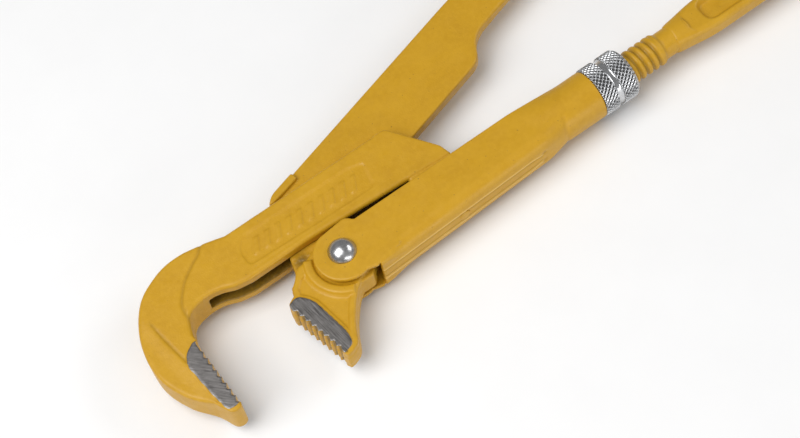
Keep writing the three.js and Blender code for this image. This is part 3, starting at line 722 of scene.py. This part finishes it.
def threadedRod():
    x = np.concatenate([
        np.linspace(rod["start"], rod["threadStart"] - 1, 30),
        np.arange(rod["threadStart"] - 0.8, rod["threadEnd"] + 1, rod["step"]),
        np.linspace(rod["threadEnd"] + 1.2, rod["end"], 24),
    ])[:, None]
    angle = np.linspace(0, 2 * np.pi, rod["columns"], endpoint=False)[None, :]
    radius = threadReach(angle, x, shared["rodRadius"], rod["threadStart"], rod["threadEnd"])
    slim = ease((x - rod["threadEnd"] + 1) / 3)
    radius = radius + (rod["neckRadius"] - radius) * slim
    points, faces = cappedTube(roundAbout("x", x, radius, angle))
    # painted shade in the thread's valleys
    valley = np.clip((shared["rodRadius"] - radius) / rod["depth"], 0, 1) * (1 - slim) * 0.55
    marks = {"ground": np.full(len(points), -1.0), "paintedShade": np.concatenate([valley.ravel(), [0, 0]])}
    return addPiece("rodThread", points, faces, "hook", "painted_forging", ["hook_jaw"], marks)


rodHandle = {
    "start": 211.0,
    "full": 225.0,
    "halfHeight": 10.5,
    "half": 6.0,
    "web": 2.8,
    "rim": 4.2,
    "edge": 3.4,
}


def handleOfRod():
    # an oval forging with a sunk web along each face
    end, half = hookHigh[0], rodHandle["halfHeight"]
    grip = softCorners([
        (rodHandle["start"] - 6, -6.6, 4), (rodHandle["start"] - 6, 6.6, 4), (rodHandle["full"], half, 9),
        (end, half, 9), (end, -half, 9), (rodHandle["full"], -half, 9),
    ])
    rim, webStart, webEnd = half - rodHandle["rim"], rodHandle["full"] + 2, end - 11
    sunk = softCorners([(webStart, -rim, 5), (webEnd, -rim, 5), (webEnd, rim, 5), (webStart, rim, 5)])
    xs = stations((rodHandle["start"] - 8, end + 1.5, 0.9))
    ys = mirroredStations((0, half + 1.2, 0.6))
    zs = mirroredStations((0, rod["neckRadius"] + 1.2, 0.5))
    x, y = np.meshgrid(xs, ys, indexing="ij")
    web = outlineDistance(x, y, sunk)
    flat = outlineDistance(x, y, grip) + 0.05 * unevenness(x, y, 7, 31)
    thick = rodHandle["half"] - (rodHandle["half"] - rodHandle["web"]) * ease(0.5 - web / 3.2)
    thick = thick + 0.05 * unevenness(x, y, 5, 32)
    body = roundedPlate(flat[..., None], thick[..., None], zs[None, None, :], rodHandle["edge"])
    neck = np.hypot(ys[None, :, None], zs[None, None, :]) - rod["neckRadius"] - 0.1
    neck = np.maximum(neck, xs[:, None, None] - rodHandle["start"] - 4)
    body = merged(body, np.maximum(neck, rodHandle["start"] - 5 - xs[:, None, None]), 2.5)
    points, faces = netMesh((xs, ys, zs), body)
    marks = {"ground": np.full(len(points), -1.0)}
    return addPiece("rodHandle", points, faces, "hook", "painted_forging", ["hook_jaw"], marks)


# Lever with the lower jaw, drawn along its own handle

lever = {
    "face": -38.4,
    "faceLean": 4.7,
    "jawTop": 3.4,
    "jawDrop": 36.6,
    "jawHalf": 7.5,
    "webHalf": 3.6,
    "back": 53.0,
    "end": 304.0,
    "gripHeight": 25.5,
    "gripStart": 150.0,
    "lugHalf": 6.0,
    "bossRadius": 15.4,
    "ribWidth": 4.9,
    "ribHalf": 8.9,
    "heelHalf": 6.0,
    "padRise": 0.6,
    "earRoom": 0.7,
}


def jawFaceAt(y):
    return lever["face"] + y * math.tan(math.radians(lever["faceLean"]))


def jawOutline():
    top, foot, radius = lever["jawTop"], -lever["jawDrop"], lever["bossRadius"]
    rowTop = top - 3.2
    rowFoot = rowTop - toothRow
    return np.vstack([
        bend((-21, 14), (-24, 11), (-29, 9.6)),
        [(-31.5, top + 2.6)],
        bend((jawFaceAt(top) + 2, top + 1.6), (jawFaceAt(top), top), (jawFaceAt(rowTop), rowTop))[:-1],
        teethAlong((jawFaceAt(rowTop), rowTop), (jawFaceAt(rowFoot), rowFoot)),
        bend((jawFaceAt(foot) + 0.4, foot + 0.8), (jawFaceAt(foot) + 1, foot), (jawFaceAt(foot) + 4, foot)),
        bend((-34, foot + 0.4), (-31.5, foot + 1), (-29.5, foot + 3.8))[:-1],
        bend((-29.5, foot + 3.8), (-22, -24.5), (-12, -18.6))[:-1],
        bend((-12, -18.6), (-8, -16.2), (-4, -radius))[:-1],
        arc((0, 0), radius, -105, 90, 40),
    ])


def webOutline():
    back, end, start, radius = lever["back"], lever["end"], lever["gripStart"], lever["bossRadius"]
    bottom = back - lever["gripHeight"]
    boss, grip = (start - 24, radius + 0.6), (start, bottom)
    return np.vstack([
        jawOutline(),
        swell(boss, (start - 13, radius + 1), (start - 15, bottom - 1), grip),
        bend((end - 10, bottom), (end, bottom), (end, bottom + 10)),
        bend((end, back - 10), (end, back), (end - 10, back)),
        bend((6, back), (2.4, back - 0.6), (1, back - 3.4)),
    ])


def leverPadOutline():
    top, foot = lever["jawTop"], -lever["jawDrop"]
    return softCorners([
        (jawFaceAt(top) - 4, top + 0.4), (jawFaceAt(top) - 0.5, top + 0.9, 1), (-31, top + 1.2, 3),
        (-27.6, -3.5, 6), (-31.4, foot + 8, 4), (-34.6, foot + 2, 2.5), (jawFaceAt(foot) - 4, foot + 2),
    ])


def lugOutline():
    # a thicker block under the front end of the lever's back
    back = lever["back"]
    return softCorners([
        (22, back - 0.1, 1), (22, back - 4.6, 1.5), (7, back - 4.4, 3), (2.6, back - 3.9, 1),
        (1.6, back - 2.6, 1), (6, back - 0.1, 3),
    ])


def leverMarks(x, y, z):
    # bare steel on the pad; painted shade in the corner in front of the ear and in the teeth
    padEdge = outlineDistance(x, y, leverPadOutline())
    padTop, depth = lever["jawHalf"] + lever["padRise"], np.abs(z)
    onFace = (depth - padTop + 0.22) * 4
    # painted shade in the shadowed corner in front of the ear
    earShade = np.exp(-(((x + 13) / 4.5) ** 2) - ((y - 17) / 3.4) ** 2) * (depth < 5)
    fromFace = x - lever["face"] - y * math.tan(math.radians(lever["faceLean"]))
    inTeeth = ease((fromFace - 0.5) / 0.8) * (fromFace < 2.2) * (depth < padTop - 0.3)
    inTeeth = inTeeth * (y < lever["jawTop"] - 2) * (y > 1.5 - lever["jawDrop"])
    return {"ground": np.minimum(-padEdge, onFace), "paintedShade": np.maximum(0.9 * earShade, 0.9 * inTeeth)}


def leverForging():
    # a flat web, a thicker jaw with a rib round the ear, a boss between the ears and a lug over the shank
    xs = stations((-43, -32, 0.36), (-32, 28, 0.55), (28, lever["end"] + 2, 1.25))
    ys = stations((-38, 6, 0.42), (6, 54.6, 0.6))
    zs = mirroredStations((0, 2.7, 0.9), (2.7, 4.5, 0.3), (4.5, 6.3, 0.45), (6.3, 10.2, 0.3))
    x, y = np.meshgrid(xs, ys, indexing="ij")
    z = zs[None, None, :]
    wobble = 0.06 * unevenness(x, y, 8, 41) + 0.03 * unevenness(x, y, 2.4, 42)
    webFlat = outlineDistance(x, y, webOutline()) + 0.5 * wobble
    webEdge = 1.2 + 1.2 * ease((x - lever["gripStart"] + 10) / 40)
    nearEar = np.exp(-(((x + 13) / 6) ** 2) - ((y - 17) / 5) ** 2)
    webHalf = lever["webHalf"] + wobble + 0.3 * nearEar * unevenness(x, y, 1.1, 43)
    web = roundedPlate(webFlat[..., None], webHalf[..., None], z, webEdge[..., None])
    turn = math.radians(-shared["leverAngle"])
    earX, earY = shared["earDrop"] * math.sin(turn), -shared["earDrop"] * math.cos(turn)
    fromEar = np.hypot(x - earX, y - earY)
    earPocket = shared["earRadius"] + lever["earRoom"]
    jawFlat = outlineDistance(x, y, np.vstack([[(-14, 13.6), (-17.5, 14.6)], jawOutline()]))
    pad = outlineDistance(x, y, leverPadOutline())
    room = outlineDistance(x, y, softCorners([
        (-11.6, 11.4, 2), (-15.4, 14.8, 1.5), (-40, 16), (-40, -24), (-15, -20), (-8, -14.2, 1.5), (0, 0)]))
    ribFlat = np.maximum(np.maximum(fromEar - earPocket - lever["ribWidth"], earPocket - fromEar), room)
    rib = roundedPlate(ribFlat[..., None], (lever["ribHalf"] + wobble)[..., None], z, 1.3)
    sunk = np.maximum(np.maximum(jawFlat + 3.4, 1.6 - pad), earPocket + lever["ribWidth"] + 0.9 - fromEar)
    sunk = np.where(y < 9, sunk, 9)
    jawHalf = lever["jawHalf"] + wobble - 0.85 * ease(0.5 - sunk / 1.4)
    padTop = lever["jawHalf"] + lever["padRise"]
    jawHalf = jawHalf + (padTop - jawHalf) * ease(0.5 - pad / 0.5)
    jawEdge = 0.4 + 1.1 * ease((pad - 0.4) / 3)
    jaw = roundedPlate(jawFlat[..., None], jawHalf[..., None], z, jawEdge[..., None])
    fromPivot = np.hypot(x, y)
    boss = roundedPlate((fromPivot - lever["bossRadius"] + 1.2)[..., None], 9.2, z, 0.6)
    lug = roundedPlate(outlineDistance(x, y, lugOutline())[..., None], lever["lugHalf"], z, 1.0)
    heelOutline = softCorners([(-9, -15, 1), (-5, -16.6, 2), (0.8, -18.2, 1), (6.5, -14.5, 3), (0, 0)])
    heel = roundedPlate(outlineDistance(x, y, heelOutline)[..., None], lever["heelHalf"], z, 0.8)
    jaw = np.minimum(jaw, heel)
    body = merged(web, jaw, 1.2)
    body = merged(body, rib, 0.8)
    body = merged(np.minimum(body, boss), lug, 1.0)
    body = carved(body, (fromPivot - shared["rivetHole"])[..., None], 0.3)
    points, faces = netMesh((xs, ys, zs), body)
    marks, angle = leverMarks(*points.T), shared["leverAngle"]
    return addPiece("leverForging", points, faces, "lever", "lever_paint", ["lever"], marks, angle)


# Sleeve: a channel with two ears that closes into a tube

sleeve = {
    "front": 11.2,
    "floorFront": 18.1,
    "floorRear": 14.3,
    "top": 11.3,
    "bend": 7.0,
    "frontBend": 2.6,  # the bends start tight beside the ears
    "neckStart": 115.0,
    "neckEnd": 131.0,
    "neckSpread": 11.0,  # how much sooner the neck starts, and later it ends, at the top
    "shoulderStart": 104.0,
    "shoulderEnd": 139.0,
    "shoulderHigh": 16.0,
    "tubeRadius": sleeveHigh[2],
    "earShoulder": 14.9,
    "edge": 0.5,
    "shoulderFacing": (0.866, 0.5),  # Y and Z of the direction that the shoulders face
    "foldDepth": 0.45,
    "dentDepth": 0.6,
    "grooveShare": 0.6,  # depth of the groove beside the pressed line, against the line's height
    "markPlace": 4.2,
    "markEnd": 112.8,
    "markHeight": 0.5,
    "seamHalf": 0.22,
    "legRise": 0.4,  # how much higher the legs of the channel stand where they close
}


def earOutline():
    front, top, shoulder = sleeve["front"], sleeve["top"], sleeve["earShoulder"]
    radius, drop, floor = shared["earRadius"], shared["earDrop"], sleeve["floorFront"]
    return np.vstack([
        [(front + 14, top), (front + 6, top)],
        bend((front + 6, top), (front + 4, top - 1), (front + 2.4, top + 1.4))[1:-1],
        bend((front + 2.4, top + 1.4), (front + 0.6, shoulder), (front - 1.6, shoulder)),
        arc((0, -drop), radius, 108, 279, 44),
        bend((3.0, -radius - drop + 0.9), (front - 5, -radius - drop + 0.1), (front - 1.2, -floor + 0.6))[1:],
        [(front + 1, -floor + sleeve["frontBend"]), (front + 14, -floor + sleeve["frontBend"] + 1)],
    ])


def sleeveShell(x, y, z, inset, wallInset):
    # a rounded channel in front and a circle behind, blended along the neck
    spread = sleeve["neckSpread"] * ease((y + 6) / 14)
    share = ease((x - sleeve["neckStart"] + spread) / (sleeve["neckEnd"] - sleeve["neckStart"] + 2 * spread))
    along = np.clip((x - sleeve["front"]) / (sleeve["neckStart"] - sleeve["front"]), 0, 1)
    floor = sleeve["floorFront"] + (sleeve["floorRear"] - sleeve["floorFront"]) * along - inset
    opened = ease((x - sleeve["front"] - 1) / 16)
    corner = sleeve["frontBend"] + (sleeve["bend"] - sleeve["frontBend"]) * opened
    corner = np.maximum(corner - inset, 0.5)
    side = np.abs(z) - shared["channelHalfWidth"] + inset + corner
    down = np.maximum(-y - floor, y - sleeve["top"] - corner - 1) + corner
    box = np.minimum(np.maximum(side, down), 0) + np.hypot(np.maximum(side, 0), np.maximum(down, 0)) - corner
    tube = np.hypot(y, z) - sleeve["tubeRadius"] + wallInset
    return box + (tube - box) * share


def pressMark(x, y, z):
    # the die leaves a thin raised line where each bend meets the floor, ended by a small dent
    along = np.clip((x - sleeve["front"]) / (sleeve["neckStart"] - sleeve["front"]), 0, 1)
    floor = sleeve["floorFront"] + (sleeve["floorRear"] - sleeve["floorFront"]) * along
    side = np.abs(z) - sleeve["markPlace"] + ease((x - sleeve["markEnd"] + 8) / 8)
    near = ease((2.5 - np.abs(y + floor)) / 1.5) * ease((sleeve["markEnd"] - x) / 1.5)
    ridge = near * np.exp(-((side / 0.6) ** 2))
    groove = near * np.exp(-(((side + 1.3) / 0.6) ** 2))
    fromDent = np.hypot(np.hypot(x - sleeve["markEnd"] - 0.8, side), y + floor)
    return ridge, groove, np.exp(-((fromDent / 1.1) ** 2))


def mouthOutline():
    # the channel's open top seen from above, narrowing to a point where the tube closes
    end = sleeve["neckEnd"]
    half = [(-60, 15), (end - 16, 15), (end - 9, 9.6), (end - 4, 4), (end - 1, 1.2), (end, 0)]
    return np.array(half + [(a, -b) for a, b in half[-2::-1]])


def pressedSleeve():
    # the shell less its inside, opened along the top, cut down by two sloped shoulders, with the ears added
    end = sleeveHigh[0]
    xs = stations((sleeveLow[0] - 1.5, 16, 0.5), (16, 104, 1.1), (104, end + 1.4, 0.5))
    ys = stations((sleeveLow[1] - 1.4, sleeveHigh[1] + 1.4, 0.5))
    zs = mirroredStations((0, 0.9, 0.15), (0.9, 2.1, 0.6), (2.1, 5.7, 0.3), (5.7, 14.7, 0.45))
    x, y, z = xs[:, None, None], ys[None, :, None], zs[None, None, :]
    flatX, flatY = np.meshgrid(xs, ys, indexing="ij")
    foldLine = [(131.2, -8.4), (129.4, -12.6), (126.5, -16.5)]
    fold = sleeve["foldDepth"] * np.exp(-((lineDistance(flatX, flatY, foldLine) / 1.3) ** 2))
    ridge, groove, dent = pressMark(x, y, z)
    outer = sleeveShell(x, y, z, 0, 0) + fold[..., None] + sleeve["dentDepth"] * dent
    outer = outer - sleeve["markHeight"] * (ridge - sleeve["grooveShare"] * groove)
    inner = sleeveShell(x, y, z, shared["sheet"], shared["sheet"])
    shell = carved(outer, inner, 0.25)
    mouthX, mouthZ = np.meshgrid(xs, zs, indexing="ij")
    mouth = outlineDistance(mouthX, mouthZ, mouthOutline())
    legTop = sleeve["top"] + sleeve["legRise"] * ease((x - sleeve["neckStart"] - 2) / 18)
    opening = np.maximum(mouth[:, None, :], legTop - y)
    seam = np.maximum(np.maximum(np.abs(z) - sleeve["seamHalf"], 8 - y), 128 - x)
    shell = carved(shell, np.minimum(opening, seam), 0.3)
    slope = np.clip((x - sleeve["shoulderStart"]) / (sleeve["shoulderEnd"] - sleeve["shoulderStart"]), 0, 1)
    shoulder = sleeve["shoulderHigh"] + (sleeve["tubeRadius"] + 0.1 - sleeve["shoulderHigh"]) * slope
    faceY, faceZ = sleeve["shoulderFacing"]
    shell = np.maximum(shell, faceY * y + faceZ * np.abs(z) - shoulder)
    shell = np.maximum(shell, np.maximum(sleeve["front"] - x, x - end))
    half = shared["sheet"] / 2
    ear = outlineDistance(flatX, flatY, earOutline())[..., None]
    ears = roundedPlate(ear, half, np.abs(z) - shared["channelHalfWidth"] + half, sleeve["edge"])
    hole = np.hypot(flatX, flatY)[..., None] - shared["rivetHole"]
    body = np.maximum(np.minimum(shell, ears), -hole)
    points, faces = netMesh((xs, ys, zs), body)
    px, py, pz = points.T
    # painted shade inside the tube, beside the pressed ridge and in its dent; a painted highlight along the
    # ridge
    insideTube = np.clip((sleeve["tubeRadius"] - 0.9 - np.hypot(py, pz)) / 0.6, 0, 1) * (px > 140)
    ridge, groove, dent = pressMark(px, py, pz)
    paintedShade = np.max([0.5 * insideTube, 0.22 * groove, 0.3 * dent], axis=0)
    marks = {"paintedShade": paintedShade, "paintedHighlight": ridge}
    return addPiece("pressedSleeve", points, faces, "sleeve", "painted_sheet", ["sleeve"], marks)


# Pivot rivet

rivet = {
    "radius": 5.0,
    "headRadius": 7.3,
    "face": 12.05,
    "columns": 96,
}


def domedRivet():
    # turned about Z: a plain shank and a shallow dome on each end
    rise = rivetHigh[2] - rivet["face"]
    dome = (rivet["headRadius"] ** 2 + rise**2) / (2 * rise)
    share = np.linspace(1, 0.02, 30)
    angle = math.asin(rivet["headRadius"] / dome) * share
    radius = dome * np.sin(angle)
    height = rivet["face"] + rise - dome * (1 - np.cos(angle))
    radius = np.concatenate([[rivet["radius"], rivet["headRadius"] - 0.5, rivet["headRadius"] - 0.1], radius])
    height = np.concatenate([[rivet["face"], rivet["face"], rivet["face"] + 0.15], height])
    height = np.minimum(height, rivetHigh[2])
    along = np.concatenate([-height[::-1], height])[:, None]
    reach = np.concatenate([radius[::-1], radius])[:, None]
    turn = np.linspace(0, 2 * np.pi, rivet["columns"], endpoint=False)[None, :]
    points, faces = cappedTube(roundAbout("z", along, reach * np.ones_like(turn), turn))
    return addPiece("pivotRivet", points, faces, "sleeve", "polished_rivet", ["pivot_rivet"])


# Adjusting nut

nut = {
    "radius": nutHigh[1],
    "band": 8.4,
    "groove": 3.2,
    "grooveRadius": nutHigh[1] - 1.4,
    "neckRadius": 10.7,
    "boreGap": 0.36,
    "knurlCount": 34,
    "knurlDepth": 0.9,
    "columns": 540,
    "step": 0.17,
}


def knurl(x, angle):
    # two families of crossing ridges leave diamond pits: 0 on a ridge, 1 in a pit
    pitch = 2 * np.pi * nut["radius"] / nut["knurlCount"]
    turns = angle * nut["knurlCount"] / (2 * np.pi)
    one, two = turns + x / pitch, turns - x / pitch
    saw = np.stack([np.abs((one % 1) - 0.5), np.abs((two % 1) - 0.5)]) * 2
    return 1 - np.clip(np.max(saw, 0), 0, 1) ** 2.2


def adjustingNut():
    # profile from the neck over both bands to the chamfer, and back through the threaded bore
    start, front, rear = nutLow[0], sleeveHigh[0] + 0.3, nutHigh[0]
    one, two = front + nut["band"], front + nut["band"] + nut["groove"]
    last = two + nut["band"]
    full, low, neck = nut["radius"], nut["grooveRadius"], nut["neckRadius"]
    bore, boreSteps = shared["rodRadius"] + nut["boreGap"], 110
    bandSteps = round(nut["band"] / nut["step"])
    bandOne = np.column_stack([np.linspace(front + 0.35, one - 0.35, bandSteps), np.full(bandSteps, full)])
    bandTwo = np.column_stack([np.linspace(two + 0.35, last - 0.35, bandSteps), np.full(bandSteps, full)])
    profile = np.vstack([
        [(start, neck - 0.5), (start + 0.5, neck), (front - 0.2, neck), (front, neck + 0.4)],
        [(front, low), (front, full - 0.9), (front + 0.1, full - 0.35)],
        bandOne,
        [(one - 0.1, full - 0.35), (one, full - 0.9), (one, low + 0.25), (one + 0.25, low), (one + 1.0, low)],
        [(two - 1.0, low), (two - 0.25, low), (two, low + 0.25), (two, full - 0.9), (two + 0.1, full - 0.35)],
        bandTwo,
        [(last, full - 0.35), (last + 0.15, full - 0.6), (rear - 0.15, low + 0.1), (rear, low - 0.15)],
        [(rear, neck - 0.5), (rear, shared["rodRadius"] + 0.7)],
        np.column_stack([np.linspace(rear - 0.6, start + 0.5, boreSteps), np.full(boreSteps, bore)]),
    ])
    x, radius = profile[:, :1], profile[:, 1:]
    angle = np.linspace(0, 2 * np.pi, nut["columns"], endpoint=False)[None, :]
    cutIn = knurl(x, angle) * ease((radius - low - 0.5) / 0.4)
    helix = threadReach(angle, x, bore, front + 1, rear + 9)
    reach = np.where(radius < shared["rodRadius"] + 0.6, helix, radius - nut["knurlDepth"] * cutIn)
    points = roundAbout("x", x, reach, angle).reshape(-1, 3)
    faces = tubeFaces(len(profile), nut["columns"], True)
    # painted shade mark: the knurl's pits and the whole bore
    marks = {"pit": np.where(radius < neck - 0.8, 1, cutIn).ravel()}
    return addPiece("adjustingNut", points, faces, "nut", "bright_zinc", ["adjusting_nut"], marks)


# Leaf spring and its rivet, on the floor of the channel

spring = {
    "thickness": 1.2,
    "halfWidth": 5.0,
    "bend": 40.0,
    "lift": 5.5,
    "floorGap": 0.3,
    "rivetPlace": 62.0,
    "rivetRadius": 2.0,
    "rivetHeadRadius": 3.4,
}


def channelFloorAt(x):
    along = np.clip((x - sleeve["front"]) / (sleeve["neckStart"] - sleeve["front"]), 0, 1)
    return shared["sheet"] - sleeve["floorFront"] - (sleeve["floorRear"] - sleeve["floorFront"]) * along


def leafSpring():
    # a strip with rounded edges carried along the floor and up to its free tip
    x = np.linspace(springLow[0] + 0.4, springHigh[0] - 0.1, 60)[:, None]
    lift = np.clip((spring["bend"] - x) / (spring["bend"] - springLow[0]), 0, 1) ** 2 * spring["lift"]
    middle = channelFloorAt(x) + spring["floorGap"] + spring["thickness"] / 2 + lift
    turn = np.linspace(0, 2 * np.pi, 28, endpoint=False)[None, :]
    across, up = np.cos(turn), np.sin(turn)
    z = np.sign(across) * np.abs(across) ** 0.25 * (spring["halfWidth"] - 0.05)
    y = middle + np.sign(up) * np.abs(up) ** 0.35 * spring["thickness"] / 2
    grid = np.stack([np.broadcast_to(x, y.shape), y, np.broadcast_to(z, y.shape)], -1)
    points, faces = cappedTube(grid[:, ::-1])
    return addPiece("leafSpring", points, faces, "sleeve", "spring_steel", ["leaf_spring"])


def leafSpringRivet():
    # turned about Y: a small domed head above the spring and one below the floor
    shank, head = spring["rivetRadius"], spring["rivetHeadRadius"]
    floor = channelFloorAt(spring["rivetPlace"])
    top, bottom = floor + spring["floorGap"] + spring["thickness"], floor - shared["sheet"]
    profile = np.array([
        (bottom - 0.34, 0.15), (bottom - 0.33, 1.2), (bottom - 0.3, 2.3), (bottom - 0.2, 3.1),
        (bottom + 0.1, head), (bottom + 0.12, shank), (top + 0.02, shank), (top + 0.05, head),
        (top + 0.4, 3.1), (top + 0.8, 2.3), (top + 1.05, 1.2), (top + 1.1, 0.15),
    ])
    turn = np.linspace(0, 2 * np.pi, 40, endpoint=False)[None, :]
    grid = roundAbout("y", profile[:, :1], profile[:, 1:] * np.ones_like(turn), turn)
    grid[..., 0] += spring["rivetPlace"]
    points, faces = cappedTube(grid)
    return addPiece("leafSpringRivet", points, faces, "sleeve", "painted_sheet", ["leaf_spring_rivet"])


def ringFinish():
    ring = frame["nodes"]["nut_retaining_ring"]
    ring.data.materials.clear()
    ring.data.materials.append(finishes["spring_steel"])


# Stage, camera and lights

view = {
    "aim": (35.35, 2.77, 0.0),  # from the pivot
    "distance": 1010.0,
    "azimuth": -113.4,  # degrees from +X to the camera
    "elevation": 60.0,
    "roll": 13.8,
    "lens": 90.9,
}


def standAt(thing, right, up, back, place):
    # the three directions of an object's own axes and its place, in metres
    turned = Matrix.Identity(4)
    for column, direction in enumerate((right, up, back, place)):
        for row in range(3):
            turned[row][column] = direction[row]
    thing.matrix_world = turned


def placeCamera():
    a, e, r = (math.radians(view[key]) for key in ("azimuth", "elevation", "roll"))
    back = np.array([math.cos(e) * math.cos(a), math.cos(e) * math.sin(a), math.sin(e)])
    upright = np.array([0, 0, 1]) - back[2] * back
    upright /= np.linalg.norm(upright)
    level = np.cross(upright, back)
    right = math.cos(r) * level - math.sin(r) * upright
    up = math.sin(r) * level + math.cos(r) * upright
    place = (pivot + np.array(view["aim"]) + view["distance"] * back) / 1000
    camera = bpy.data.objects.new("camera", bpy.data.cameras.new("camera"))
    bpy.context.scene.collection.objects.link(camera)
    camera.data.lens = view["lens"]
    camera.data.clip_start = 0.05
    standAt(camera, right, up, back, place)
    bpy.context.scene.camera = camera


def softLight(name, place, aim, size, power):
    lamp = bpy.data.lights.new(name, "AREA")
    lamp.shape = "RECTANGLE"
    lamp.size, lamp.size_y = size
    lamp.energy = power
    holder = bpy.data.objects.new(name, lamp)
    bpy.context.scene.collection.objects.link(holder)
    back = (place - aim) / np.linalg.norm(place - aim)
    right = np.cross([0, 1, 0], back)
    right /= np.linalg.norm(right)
    standAt(holder, right, np.cross(back, right), back, place)


def paleFloor():
    # a wide sheet with a fine paper grain
    half = 3.0
    corners = [(-half, -half, 0), (half, -half, 0), (half, half, 0), (-half, half, 0)]
    mesh = bpy.data.meshes.new("floor")
    mesh.from_pydata(corners, [], [(0, 1, 2, 3)])
    floor = bpy.data.objects.new("floor", mesh)
    bpy.context.scene.collection.objects.link(floor)
    nodes = Nodes("pale floor")
    tone = nodes.mixColour(nodes.noise(40, 3), (0.86, 0.86, 0.86), (0.90, 0.90, 0.90))
    nodes.link(tone, nodes.shader.inputs["Base Color"])
    nodes.shader.inputs["Roughness"].default_value = 0.8
    floor.data.materials.append(nodes.material)


def studio():
    world = bpy.data.worlds.new("studio")
    world.use_nodes = True
    background = world.node_tree.nodes["Background"]
    background.inputs["Color"].default_value = (1, 1, 1, 1)
    background.inputs["Strength"].default_value = 0.26
    bpy.context.scene.world = world
    bpy.context.scene.view_settings.view_transform = "Standard"
    centre = (pivot + np.array([35, 5, 0])) / 1000
    softLight("overhead", centre + [-0.75, 0.0, 1.25], centre, (1.4, 1.1), 21)
    softLight("front", centre + [0.15, -1.4, 0.35], centre, (1.2, 0.14), 5)
    softLight("side", centre + [1.3, -0.3, 0.9], centre, (0.5, 1.0), 6)


placeCamera()
paleFloor()
studio()
print("stage, camera and lights are ready")
hookForging()
threadedRod()
handleOfRod()
leverForging()
pressedSleeve()
domedRivet()
adjustingNut()
leafSpring()
leafSpringRivet()
ringFinish()
print("all pieces are made")
